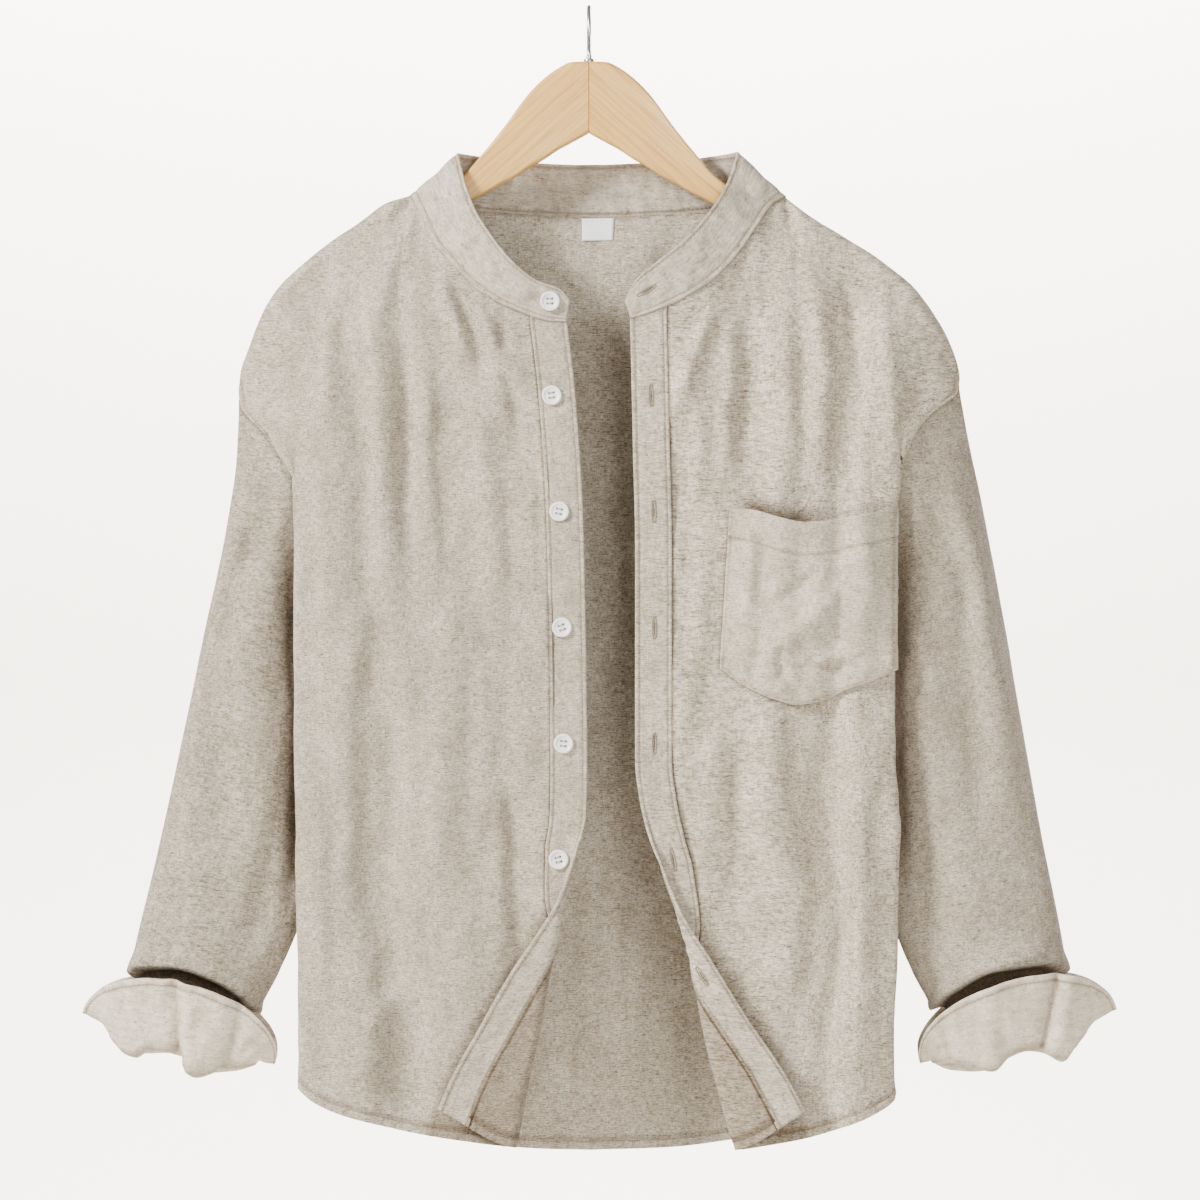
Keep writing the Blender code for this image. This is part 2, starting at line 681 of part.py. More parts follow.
def cuff_profile(side):
    """The cuff's rings from the sleeve's end, round the fold at the bottom and up to the free edge."""
    end = SLEEVE[side][-1]
    fold, rim = np.array(CUFF[side]["fold"], float), np.array(CUFF[side]["rim"], float)
    seam = np.array([end[1], end[2] + CUFF_SEAM, end[3], end[4] + CUFF_SEAM], float)
    wider = np.array([CUFF_TURN, 0, -CUFF_TURN, 0])
    raised = np.array([0, CUFF_TURN, 0, CUFF_TURN])
    rows = [(seam, end[6], 0.0)]
    rows.append((fold - wider - 1.6 * raised, CUFF_DEPTH_FOLD - CUFF_TURN, 0.0))
    rows.append((fold - 0.7 * wider - 0.3 * raised, CUFF_DEPTH_FOLD - 0.7 * CUFF_TURN, 0.0))
    rows.append((fold, CUFF_DEPTH_FOLD, 0.0))
    rows.append((fold + 0.7 * wider - 0.3 * raised, CUFF_DEPTH_FOLD + 0.7 * CUFF_TURN, 0.0))
    for share in (0.12, 0.4, 0.7, 1.0):
        corners = fold + wider - raised + (rim - fold - wider + raised) * share
        depth = CUFF_DEPTH_FOLD + CUFF_TURN + (CUFF_DEPTH_RIM - CUFF_DEPTH_FOLD - CUFF_TURN) * share
        rows.append((corners, depth, CUFF_RISE * share))
    return rows


def cuff_grid(side, around):
    first, last = SLEEVE[side][-3], SLEEVE[side][-1]
    run_o = (last[1] + last[3] - first[1] - first[3]) / 2
    run_h = (last[2] + last[4] - first[2] - first[4]) / 2
    length = math.hypot(run_o, run_h)
    droop = table(CUFF_DROOP[side], 1, around)
    rings = []
    for (corners, depth, rise), share in zip(cuff_profile(side), DROOP_RINGS):
        point = ring(*corners, 0.0, depth, around)
        lifted = rise * np.abs(np.sin(2 * math.pi * around)) ** 0.9 - share * droop
        point[:, 0] -= lifted * run_o / length
        point[:, 2] -= lifted * run_h / length
        rings.append(stack(side, point[:, 0], point[:, 1], point[:, 2]))
    return np.stack(rings, axis=1)


# Seams: neighbours stop short of the seam line by what their walls need

def normalised(vectors):
    return vectors / np.maximum(np.linalg.norm(vectors, axis=-1, keepdims=True), 1e-9)


def seam_edge(surface, across, down, step):
    """Points on a piece's edge, the direction into the piece, and mm a unit of the stepped share."""
    point = surface(across, down)
    inner = surface(across + step[0], down + step[1])
    tangent = normalised(np.gradient(point, axis=0))
    inward = inner - point
    inward = inward - (inward * tangent).sum(axis=1, keepdims=True) * tangent
    speed = np.linalg.norm(inward, axis=1) / max(abs(step[0]), abs(step[1]))
    return point, normalised(inward), speed


def pull_back(edge, neighbours, wall):
    """How much of the stepped share a piece gives up along its edge."""
    point, inward, speed = edge
    others = np.concatenate([n[0] for n in neighbours])
    directions = np.concatenate([n[1] for n in neighbours])
    nearest = np.linalg.norm(point[:, None] - others[None], axis=2).argmin(axis=1)
    cosine = np.clip((inward * directions[nearest]).sum(axis=1), -1, 0.5)
    pull = np.maximum(GAP / 2 + wall / 2 / np.tan(np.arccos(cosine) / 2), LEAST_PULL)
    return np.minimum(pull / np.maximum(speed, 1e-3), MOST_PULL)


def all_edges():
    """The seam edges of every piece, by name."""
    share = np.linspace(0, 1, SAMPLES)
    zero, one = np.zeros(SAMPLES), np.ones(SAMPLES)
    edges = {"collar": seam_edge(collar, share, zero, (0, 0.01))}
    edges["back top"] = seam_edge(back, 2 * share - 1, zero, (0, STEP))
    for side in SIGN:
        panel, tube = front(side), sleeve(side)
        edges[side + " top"] = seam_edge(panel, share, zero, (0, STEP))
        edges[side + " outer"] = seam_edge(panel, one, share, (-10 * STEP, 0))
        edges[side + " behind"] = seam_edge(back, SIGN[side] * one, share, (-SIGN[side] * 10 * STEP, 0))
        edges[side + " sleeve"] = seam_edge(tube, share, zero, (0, 10 * STEP))
    return edges


# Meshes and materials

def lines_through(grid, axis, closed=False):
    """The direction at each point of the grid's lines along an axis."""
    points = np.moveaxis(grid, axis, 0)
    ahead = normalised(np.roll(points, -1, axis=0) - points)
    if not closed:
        ahead[-1] = ahead[-2]
    behind = np.roll(ahead, 1, axis=0)
    if not closed:
        behind[0] = ahead[0]
    return np.moveaxis(normalised(ahead + behind), 0, axis)


def normals_of(grid, closed=False):
    return normalised(np.cross(lines_through(grid, 0, closed), lines_through(grid, 1)))


def own_normals(surface, u, v):
    """A surface's normals, taken from steps that stay inside it."""
    step_u, step_v = np.where(u > 0.5, -STEP, STEP), np.where(v > 0.5, -STEP, STEP)
    across = normalised((surface(u + step_u, v) - surface(u, v)) / step_u[..., None])
    down = normalised((surface(u, v + step_v) - surface(u, v)) / step_v[..., None])
    return normalised(np.cross(across, down))


def panel_normals(panel, u, v, near_edge):
    """The grid's normals; the panel's own ones near a front edge, and level cuts on the shoulders."""
    grid = panel(u, v)
    normals = normals_of(grid)
    own = own_normals(panel, u, v)
    normals = np.where((np.abs(u) < near_edge)[..., None], own, normals)
    top = np.abs(u[:, 0])
    normals[:, 0, 1] *= 1 - smooth((top - U_NECK) / 0.04) * (1 - smooth((top - U_LEVEL) / 0.15))
    return grid, normalised(normals)


def painted(name, colour, roughness, metallic=0.0):
    material = bpy.data.materials.new(name)
    material.use_nodes = True
    shader = material.node_tree.nodes["Principled BSDF"]
    shader.inputs["Base Color"].default_value = (*colour, 1)
    shader.inputs["Roughness"].default_value = roughness
    shader.inputs["Metallic"].default_value = metallic
    material.diffuse_color = (*colour, 1)
    return material


def add_object(name, mesh, finish):
    mesh.materials.append(painted(name, *finish))
    item = bpy.data.objects.new(name, mesh)
    parts.objects.link(item)
    return item


def add_mesh(name, points, faces, finish):
    mesh = bpy.data.meshes.new(name)
    mesh.from_pydata((points * MM).tolist(), [], faces)
    shaped = bmesh.new()
    shaped.from_mesh(mesh)
    bmesh.ops.recalc_face_normals(shaped, faces=shaped.faces)
    shaped.to_mesh(mesh)
    shaped.free()
    return add_object(name, mesh, finish)


def add_cloth(name, grid, normals, wall, finish, closed=False):
    """A wall through a grid of points; a closed grid's first and last columns meet.  It is built from
    two layers, not thickened from one, because its cut edges follow the given normals to lie against
    the pieces that they are sewn to."""
    columns, rows = grid.shape[:2]
    sides = [grid + normals * (wall / 2), grid - normals * (wall / 2)]
    points = np.concatenate([layer.reshape(-1, 3) for layer in sides])
    other = columns * rows
    faces = []
    for i in range(columns if closed else columns - 1):
        here, beside = i * rows, (i + 1) % columns * rows
        for j in range(rows - 1):
            quad = (here + j, beside + j, beside + j + 1, here + j + 1)
            faces += [quad, tuple(k + other for k in reversed(quad))]
        for j in (0, rows - 1):
            faces.append((here + j, beside + j, beside + j + other, here + j + other))
    if not closed:
        for start in (0, other - rows):
            for k in range(start, start + rows - 1):
                faces.append((k, k + 1, k + 1 + other, k + other))
    item = add_mesh(name, points, faces, finish)
    item.data.shade_smooth()
    return item


def add_loft(name, rings, finish):
    """A closed body through rings of points, with flat ends."""
    count = len(rings[0])
    faces = [
        (k * count + i, k * count + (i + 1) % count, (k + 1) * count + (i + 1) % count, (k + 1) * count + i)
        for k in range(len(rings) - 1)
        for i in range(count)
    ]
    faces.append(tuple(range(count)))
    faces.append(tuple((len(rings) - 1) * count + i for i in range(count)))
    return add_mesh(name, np.concatenate(rings), faces, finish)


LINEN = ((0.60, 0.55, 0.47), 0.9)
LINEN_INSIDE = ((0.50, 0.46, 0.39), 0.9)
BUTTON_WHITE = ((0.86, 0.85, 0.82), 0.35)
LABEL_WHITE = ((0.88, 0.88, 0.86), 0.8)
WOOD = ((0.72, 0.50, 0.26), 0.5)
STEEL = ((0.62, 0.62, 0.62), 0.3, 1.0)


# The pieces

def panel_rows(side, hem):
    """Shares down a panel's outer edge, with a row at the underarm."""
    top, underarm = ARMHOLE_H[side]
    end = table(hem, 1, 1.0)
    share = (underarm - top) / (end - top)
    rows = [*ROLL_ROWS] + [share * row for row in ARMHOLE_ROWS]
    return np.array(rows + [share + (1 - share) * row for row in SIDE_ROWS])


def toward_fold(side, u, v):
    """Moves columns toward the fold of the turned-back corner, and keeps the outer two."""
    top = front_top(side, u.ravel())[:, 2].reshape(u.shape)
    h = top + (table(FRONT_HEM[side], 1, u) - top) * v
    fold = U_TURNING / TURNING * table(FRONT_EDGE[side], 2, h)
    low, high = u.min(), min(u.max(), U_TURNING)
    inside = smooth(np.clip(np.minimum(u - low, high - u), 0, None) / FOLD_REACH * 2)
    return u + FOLD_DRAW * inside * (fold - u) * np.exp(-(((u - fold) / FOLD_REACH) ** 2))


def trimmed_front(side, columns, edges, wall, outer_seam):
    """A grid over a front that stops short of its seams."""
    neighbours = [edges["collar"], edges["back top"]]
    top_pull = pull_back(edges[side + " top"], neighbours, max(wall, DOUBLE))
    beside = [edges[side + " behind"], edges[side + " sleeve"]]
    outer_pull = pull_back(edges[side + " outer"], beside, CLOTH)
    share = np.linspace(0, 1, SAMPLES)
    rows = panel_rows(side, FRONT_HEM[side])
    u, v = np.meshgrid(np.array(columns, float), rows, indexing="ij")
    start = np.interp(u, share, top_pull) * (u < U_NECK)
    v = start + (1 - start) * v
    u = toward_fold(side, u, v)
    if outer_seam:
        end = 1 - np.interp(v, share, outer_pull)
        u = np.where(u > U_RIDGE, U_RIDGE + (u - U_RIDGE) * (end - U_RIDGE) / (1 - U_RIDGE), u)
    return panel_normals(front(side), u, v, U_TURNING)


def front_columns():
    """Stations across a front panel, past its placket."""
    turning = U_TURNING / TURNING * np.array([STRIP + STRIP_GAP / 2, *TURNING_COLUMNS])
    return np.concatenate([turning, [0.41], U_NECK + (1 - U_NECK) * np.array(SHOULDER_COLUMNS)])


def strip_columns():
    return U_TURNING / TURNING * np.array([*STRIP_COLUMNS, STRIP - STRIP_GAP / 2])


def back_half_columns():
    neck = U_BACK_NECK * np.array(NECK_COLUMNS)
    return np.concatenate([neck, U_BACK_NECK + (1 - U_BACK_NECK) * np.array(SHOULDER_COLUMNS)])


def add_fronts(edges):
    strips = {"right": "button_placket", "left": "buttonhole_placket"}
    for side in SIGN:
        grid, normals = trimmed_front(side, front_columns(), edges, CLOTH, True)
        add_cloth("front_" + side, grid, normals, CLOTH, LINEN)
        grid, normals = trimmed_front(side, strip_columns(), edges, DOUBLE, False)
        add_cloth(strips[side], grid, normals, DOUBLE, LINEN)


def add_back(edges):
    share = np.linspace(0, 1, SAMPLES)
    fronts = [edges["right top"], edges["left top"], edges["collar"]]
    top_pull = pull_back(edges["back top"], fronts, DOUBLE)
    half = back_half_columns()
    u = np.concatenate([-half[:0:-1], half])[:, None]
    rows = {side: panel_rows(side, BACK_HEM[side])[None] for side in SIGN}
    v = rows["right"] * (1 - u) / 2 + rows["left"] * (1 + u) / 2
    u = u + np.zeros_like(v)
    start = np.interp((u + 1) / 2, share, top_pull) * (np.abs(u) < U_BACK_NECK)
    v = start + (1 - start) * v
    for side, sign in SIGN.items():
        beside = [edges[side + " outer"], edges[side + " sleeve"]]
        pull = pull_back(edges[side + " behind"], beside, CLOTH)
        end = 1 - np.interp(v, share, pull)
        past = np.maximum(u * sign - U_RIDGE, 0) / (1 - U_RIDGE)
        u = u - sign * past * (1 - end)
    add_cloth("back", *panel_normals(back, u, v, 0), CLOTH, LINEN_INSIDE)


def around_armhole(side):
    """Shares round a sleeve that meet the rows of the two panels."""
    line = np.linspace(0, 0.5, 400)
    heights = armhole(side, line)[:, 2]
    top, underarm = ARMHOLE_H[side]
    drops = top + (underarm - top) * np.array([0, *ARMHOLE_ROWS, 1])
    front_half = np.interp(drops, heights, line)
    back_line = np.linspace(1, 0.5, 400)
    back_half = np.interp(drops, armhole(side, back_line)[:, 2], back_line)
    return np.concatenate([front_half, back_half[-2:0:-1]])


def add_sleeves(edges):
    share = np.linspace(0, 1, SAMPLES)
    for side in SIGN:
        beside = [edges[side + " outer"], edges[side + " behind"]]
        pull = pull_back(edges[side + " sleeve"], beside, CLOTH)
        rows = np.linspace(0, 1, SLEEVE_RINGS) ** 1.15
        s, t = np.meshgrid(around_armhole(side), rows, indexing="ij")
        start = np.interp(s, share, pull)
        grid = sleeve(side)(s, start + (1 - start) * t)
        add_cloth("sleeve_" + side, grid, normals_of(grid, True), CLOTH, LINEN, closed=True)


def add_cuffs():
    around = np.arange(ROUND_CUFF) / ROUND_CUFF
    for side in SIGN:
        grid = cuff_grid(side, around)
        add_cloth("cuff_" + side, grid, normals_of(grid, True), DOUBLE, LINEN, closed=True)


def collar_shares(points):
    """Where points of the neckline lie along the collar."""
    line = np.linspace(0, 1, 2000)
    seam = collar(line, np.zeros_like(line))
    return line[np.linalg.norm(points[:, None] - seam[None], axis=2).argmin(axis=1)]


def collar_columns():
    """The shares along the collar that meet the columns of the panels under it."""
    shares = [0.0, 1.0]
    for side in SIGN:
        stations = np.concatenate([strip_columns()[1:], front_columns()[1:-len(SHOULDER_COLUMNS) + 1]])
        shares += list(collar_shares(front(side)(stations, np.zeros_like(stations))))
        stations = SIGN[side] * U_BACK_NECK * np.array(NECK_COLUMNS)
        shares += list(collar_shares(back(stations, np.zeros_like(stations))))
    shares = np.unique(np.round(shares, 4))
    return shares[np.concatenate([[True], np.diff(shares) > 0.001])]


def add_collar(edges):
    share = np.linspace(0, 1, SAMPLES)
    panels = [edges["right top"], edges["left top"], edges["back top"]]
    pull = pull_back(edges["collar"], panels, DOUBLE)
    f, w = np.meshgrid(collar_columns(), np.linspace(0, 1, 4), indexing="ij")
    start = np.interp(f, share, pull)
    grid = collar(f, start + (1 - start) * w)
    add_cloth("collar_band", grid, normals_of(grid), DOUBLE, LINEN)


def station_at(side, o, h, low=U_STRIP, high=U_NEAR):
    """The station u where a front lies at a distance out and a drop, and its share v."""
    u = np.linspace(low, high, 400)
    v = share_at(side, u, h)
    place_o = np.abs(front(side)(u, v)[:, 0])
    found = np.interp(o, place_o, u)
    return found, share_at(side, np.array([found]), h)[0]


def share_at(side, u, h):
    top = front_top(side, u)[:, 2]
    return (h - top) / (table(FRONT_HEM[side], 1, u) - top)


def facing(surface, across, down, forward):
    """A surface's normals on its front (-1) or on its back (1)."""
    normal = own_normals(surface, across, down)
    return normal * np.sign(normal[..., 1:2] * forward)


def add_pocket():
    side = "left"
    panel = front(side)
    down = np.linspace(0, 1, 10)
    inner = table(POCKET_INNER, 1, down)
    inner = np.array([station_at(side, o, POCKET_H + POCKET_DEEP * b)[0] for o, b in zip(inner, down)])
    outer = front_columns()
    outer = outer[(outer > U_NEAR) & (outer < U_RIDGE + 0.01)]
    steps = np.linspace(0, 1, 7)[:-1, None]
    u = np.concatenate([inner[None] + (outer[0] - inner[None]) * steps, outer[:, None] + 0 * inner[None]])
    b = down[None] + np.zeros_like(u)
    middle = share_at(side, u.ravel(), (POCKET_H + POCKET_DEEP * b).ravel()).reshape(u.shape)
    o = panel(u, middle)[..., 0]
    a = (o - o[:1]) / (o[-1:] - o[:1])
    h = table(POCKET_TOP, 1, a) * (1 - b) + table(POCKET_BOTTOM, 1, a) * b
    v = share_at(side, u.ravel(), h.ravel()).reshape(u.shape)
    swell = table(POCKET_SWELL, 1, b) * np.sin(math.pi * np.clip(a, 0, 1)) ** 0.7
    grid = panel(u, v) + facing(panel, u, v, -1) * (CLOTH + GAP + POCKET_EASE)
    grid[..., 1] -= swell
    add_cloth("chest_pocket", grid, normals_of(grid), CLOTH, LINEN)


def normal_beside(surface, across, down, forward):
    """The normal at one place, from a small patch round it."""
    u, v = np.meshgrid(across + np.array([-3, 0, 3]) * 1e-3, down + np.array([-3, 0, 3]) * 1e-3,
                       indexing="ij")
    return facing(surface, u, v, forward)[1, 1]


def add_buttons():
    panel = front("right")
    places = []
    for k in range(FRONT_BUTTONS):
        last = k == FRONT_BUTTONS - 1
        u = np.array([U_TURNING / TURNING * (LAST_BUTTON_INSET if last else BUTTON_INSET)])
        v = share_at("right", u, FIRST_BUTTON_H + BUTTON_PITCH * k)
        normal = normal_beside(panel, u[0], v[0], 1 if last else -1)
        places.append((panel(u, v)[0] + normal * BUTTON_RAISED.get(k, 0), normal))
    place_on_collar = collar(np.array([COLLAR_BUTTON_ALONG]), np.array([COLLAR_BUTTON_UP]))[0]
    places.insert(0, (place_on_collar, normal_beside(collar, COLLAR_BUTTON_ALONG, COLLAR_BUTTON_UP, -1)))
    for k, (point, normal) in enumerate(places):
        centre = point + normal * (DOUBLE / 2 + GAP + BUTTON_THICK / 2)
        shaped = bmesh.new()
        bmesh.ops.create_cone(shaped, cap_ends=True, segments=16, radius1=BUTTON_RADIUS * MM,
                              radius2=BUTTON_RADIUS * MM, depth=BUTTON_THICK * MM)
        rims = [e for e in shaped.edges if abs(e.verts[0].co.z - e.verts[1].co.z) < 1e-6]
        bmesh.ops.bevel(shaped, geom=rims, offset=0.7 * MM, segments=1, affect="EDGES")
        mesh = bpy.data.meshes.new(f"button_{k + 1}")
        shaped.to_mesh(mesh)
        shaped.free()
        item = add_object(f"button_{k + 1}", mesh, BUTTON_WHITE)
        item.location = Vector(centre) * MM
        item.rotation_euler = Vector(normal).to_track_quat("Z", "Y").to_euler()


def add_label():
    across = (LABEL_OFFSET + np.array([-0.5, 0, 0.5]) * LABEL_WIDTH) / BACK_NECK_SCALE
    down = (LABEL_START + np.array([0, 0.5, 1]) * LABEL_HEIGHT) / BACK_DROP
    u, v = np.meshgrid(across, down, indexing="ij")
    away = CLOTH / 2 + GAP + LABEL_THICK / 2 + LABEL_EASE
    grid = back(u, v) + facing(back, u, v, -1) * away
    add_cloth("neck_label", grid, normals_of(grid), LABEL_THICK, LABEL_WHITE)


def arm_section(side, o, top, low, half, steps=3):
    """A rounded rectangle across an arm, in the plane at o, with so many points round each corner."""
    corner = min(ARM_CORNER, half * 0.8)
    middle_y = -HANGER_BOW * (o / HANGER_REACH) ** 2
    upper, lower = -top - corner, corner - low
    points = []
    for quarter, (away, z) in enumerate(((1, upper), (-1, upper), (-1, lower), (1, lower))):
        for turn in np.radians(90 * quarter + np.linspace(0, 90, steps)):
            y = middle_y + away * (half - corner) + corner * math.cos(turn)
            points.append((SIGN[side] * o, y, z + corner * math.sin(turn)))
    return np.array(points)


def seated_top(side, o, top):
    """The top of the wood, lowered where the shoulder lies on it."""
    carried = np.array([(row[0], row[2]) for row in SHOULDER[side] if row[2] <= ARM_CARRIES_TO], float)
    if o < carried[0, 0] + ARM_DEEP / 2:
        return top
    return max(top, float(monotone(carried[:, 0], carried[:, 1], o)) + ARM_SEAT)


def add_hanger():
    for side in SIGN:
        rings = []
        for o, top, low, half in ARM_PROFILE:
            top = seated_top(side, o, top)
            rings.append(arm_section(side, o, top, max(low, top + ARM_DEEP), half))
        add_loft("hanger_arm_" + side, rings, WOOD)


def add_hook():
    """The wire: a foot on the wood, a stem that bends back, and an arc over the rail."""
    radius = HOOK_INNER_RADIUS + WIRE_RADIUS
    middle = -HOOK_INNER_RADIUS
    line = [(0, -HOOK_RISE + GAP, HOOK_FOOT_RADIUS), (0, -HOOK_RISE + 2, HOOK_FOOT_RADIUS)]
    line.append((0, -HOOK_RISE + 4.5, WIRE_RADIUS))
    stem = [(0, -33.5), (2.5, -29.5), (9, -26.0), (14.6, -22.0)]
    line += [(y, z, WIRE_RADIUS) for y, z in stem]
    for angle in np.linspace(0, 195, 14):
        turn = math.radians(angle)
        line.append((radius * math.cos(turn), middle + radius * math.sin(turn), WIRE_RADIUS))
    curve = bpy.data.curves.new("hanger_hook", "CURVE")
    curve.dimensions = "3D"
    curve.bevel_depth = MM
    curve.bevel_resolution = 2
    curve.use_fill_caps = True
    spline = curve.splines.new("POLY")
    spline.points.add(len(line) - 1)
    for point, (y, z, thick) in zip(spline.points, line):
        point.co = (0, y * MM, z * MM, 1)
        point.radius = thick
    curve.materials.append(painted("hanger_hook", *STEEL))
    parts.objects.link(bpy.data.objects.new("hanger_hook", curve))


for item in list(bpy.data.objects):
    bpy.data.objects.remove(item, do_unlink=True)
parts = bpy.data.collections.new("mandarin_collar_shirt")
bpy.context.scene.collection.children.link(parts)

seams = all_edges()
add_fronts(seams)
add_back(seams)
add_sleeves(seams)
add_cuffs()
add_collar(seams)
add_pocket()
add_buttons()
add_label()
add_hanger()
add_hook()
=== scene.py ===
"""What is seen of the mandarin collar shirt: fine cloth, stitching, buttons, label, hanger and studio.

The first tables and functions give the garment's surfaces, in millimetres, with the frame at the inside
top of the hook.  A table's column `o` is the distance outward from the centre line, `y` the depth (the
front is negative) and `h` the drop below the origin.  `right` and `left` are the wearer's sides.
"""

import math

import bmesh
import bpy
import numpy as np
from mathutils import Matrix, Vector
from mathutils.bvhtree import BVHTree


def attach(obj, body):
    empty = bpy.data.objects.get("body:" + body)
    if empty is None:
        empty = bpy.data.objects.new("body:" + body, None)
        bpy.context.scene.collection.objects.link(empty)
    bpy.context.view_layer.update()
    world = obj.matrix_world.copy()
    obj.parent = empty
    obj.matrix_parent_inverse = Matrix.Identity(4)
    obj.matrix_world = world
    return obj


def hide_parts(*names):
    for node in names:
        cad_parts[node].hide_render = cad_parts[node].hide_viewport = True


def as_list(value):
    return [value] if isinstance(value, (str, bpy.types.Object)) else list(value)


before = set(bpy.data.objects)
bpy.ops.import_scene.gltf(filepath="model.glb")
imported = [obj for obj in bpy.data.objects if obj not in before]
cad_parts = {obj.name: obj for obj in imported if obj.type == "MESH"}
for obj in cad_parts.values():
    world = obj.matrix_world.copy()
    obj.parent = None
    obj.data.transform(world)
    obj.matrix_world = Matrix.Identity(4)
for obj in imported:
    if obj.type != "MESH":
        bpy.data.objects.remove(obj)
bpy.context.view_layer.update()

MM = 0.001

# Driving dimensions, in millimetres.
CLOTH = 1.5  # wall of a single layer
DOUBLE = 2.2  # wall of the plackets, the collar and the cuffs
GAP = 0.3  # between pieces that lie together
STRIP = 28.0  # width of both plackets
TURNING = 105.0  # the cloth next to a front edge that can turn back
TURN_RADIUS = 6.0  # of the turned-back corner's fold
UNTURNED = -TURN_RADIUS * math.pi / 2
FLAP_LIFT = 0.05  # how fast a turned-back corner stands away from the front
SHOULDER_ROLL = 8.0  # radius of the cloth over the hanger
PARTING = 0.8  # along the armhole the panels' edges stand out from the seam, and the sleeve's in
BUTTON_THICK = 2.4
BUTTON_PITCH = 88.0
FIRST_BUTTON_H = 296.0
BUTTON_INSET = 18.0  # from the front edge
LAST_BUTTON_INSET = 12.5  # inside the turned-back corner, clear of its fold
BUTTON_RAISED = {4: 0.4}  # the button where the corner starts to turn sits on its rim
FRONT_BUTTONS = 6
COLLAR_BUTTON_ALONG, COLLAR_BUTTON_UP = 0.028, 0.55  # as shares of the collar
WIRE_RADIUS = 1.6
HOOK_INNER_RADIUS = 17.0
HOOK_RISE = 40.0  # from the top of the wood to the inside top of the hook
HANGER_BOW, HANGER_REACH = 10.0, 220.0  # the arms' ends stand this far forward
LABEL_OFFSET, LABEL_WIDTH, LABEL_HEIGHT = 5.0, 19.0, 17.0
LABEL_START = 1.5  # below the collar's seam
BACK_NECK_SCALE, BACK_DROP = 277.0, 717.0  # mm of the back panel at its centre for all of u and of v

# Stations across a front, from its edge (0) to the armhole and side seam (1).
U_TURNING, U_NECK, U_MIDDLE, U_NEAR, U_RIDGE, U_BEHIND = 0.36, 0.45, 0.58, 0.75, 0.82, 0.90
U_BEFORE_TURNING = 0.33
U_STRIP = U_TURNING * STRIP / TURNING
PER_MM = U_TURNING / TURNING  # of the cloth that can turn back
U_BACK_NECK, U_BACK_HALF = 0.42, 0.40
NEAR_RIDGE = 15.0  # from U_NEAR to the ridge

SIGN = {"right": -1, "left": 1}

FRONT_EDGE = {  # h, o of the edge or of the fold, cloth that is turned back
    "right": [
        (239, 16.7, UNTURNED), (295, 10.3, UNTURNED), (382, 4.6, UNTURNED), (482, 2.3, UNTURNED),
        (573, 1.2, UNTURNED), (614, 3.0, -6), (642, 9.5, 1), (683, 19.0, 11), (707, 23.0, 22),
        (732, 29.0, 33), (776, 37.2, 50), (817, 45.6, 64), (866, 55.0, 74),
    ],
    "left": [
        (236, 31.2, UNTURNED), (338, 33.4, UNTURNED), (411, 35.0, UNTURNED), (573, 35.0, UNTURNED),
        (600, 38.8, -7), (630, 46.5, -3), (660, 57.0, 2), (695, 68.5, 9), (719, 75.2, 18), (764, 84.0, 37),
        (815, 96.0, 59), (868, 110.5, 72),
    ],
}
RIDGE = {  # the fold down each side: h, o, y in front, y behind
    "right": [
        (215, 236, -15, 0), (255, 225, -29, 17), (300, 222, -36, 30), (480, 222, -39, 38),
        (820, 219, -38, 37),
    ],
    "left": [
        (215, 247, -15, 0), (255, 238, -29, 17), (300, 234, -36, 30), (480, 232, -39, 38),
        (830, 234, -38, 37),
    ],
}
FRONT_DEPTH = [  # h, y at the edge, y past the turning, y in the middle
    (140, -34, -30, -24), (240, -40, -36, -31), (340, -43, -39, -34), (480, -43, -40, -35),
    (640, -42, -40, -36), (870, -43, -41, -37),
]
BACK_DEPTH = [(140, 28, 26), (260, 34, 31), (480, 38, 35), (870, 40, 37)]  # h, y centre, y half way
ARMHOLE = {  # the shoulder's edge, the armhole seam, the side seam: h, o, y in front, y behind
    "right": [
        (196, 218, -9, -9), (212, 235, -10, -10), (230, 247, -11, -11), (255, 257, -12, -12),
        (283, 265, -12, -12), (301, 265.5, -12, -12), (327, 245, -26, 20), (350, 227, -31, 30),
        (375, 213, -23, 25), (415, 204, -12, 13), (474, 198, 0, 0), (560, 197, 0, 0), (700, 199, 0, 0),
        (815, 206, 0, 0),
    ],
    "left": [
        (199, 229.5, -10, -10), (213, 247, -11, -11), (232, 261.5, -12, -12), (256, 274.5, -12, -12),
        (279, 281, -12, -12), (290, 281.5, -12, -12), (312, 258, -26, 20), (336, 238, -31, 28),
        (362, 224, -23, 25), (402, 215, -12, 13), (462, 208, 0, 0), (560, 207, 0, 0), (700, 210, 0, 0),
        (820, 218, 0, 0),
    ],
}
ARMHOLE_H = {"right": (301, 474), "left": (290, 462)}  # its top and the underarm
SHOULDER = {  # from the neck point to the top of the armhole: o, y, h
    "right": [
        (134, -3, 142), (153.5, -5, 148.7), (173, -7, 163), (197.6, -8, 179.5), (218, -9, 195.8),
        (234.8, -10, 211.8), (247, -11, 230.4), (257, -12, 255), (265, -12, 283), (265.5, -12, 301),
    ],
    "left": [
        (148, -3, 143), (170, -6, 160), (191.5, -8, 173), (212.8, -9, 186), (229.5, -10, 198.5),
        (247, -11, 213.3), (261.4, -12, 232.3), (274.4, -12, 255.8), (281, -12, 279), (281.5, -12, 290),
    ],
}
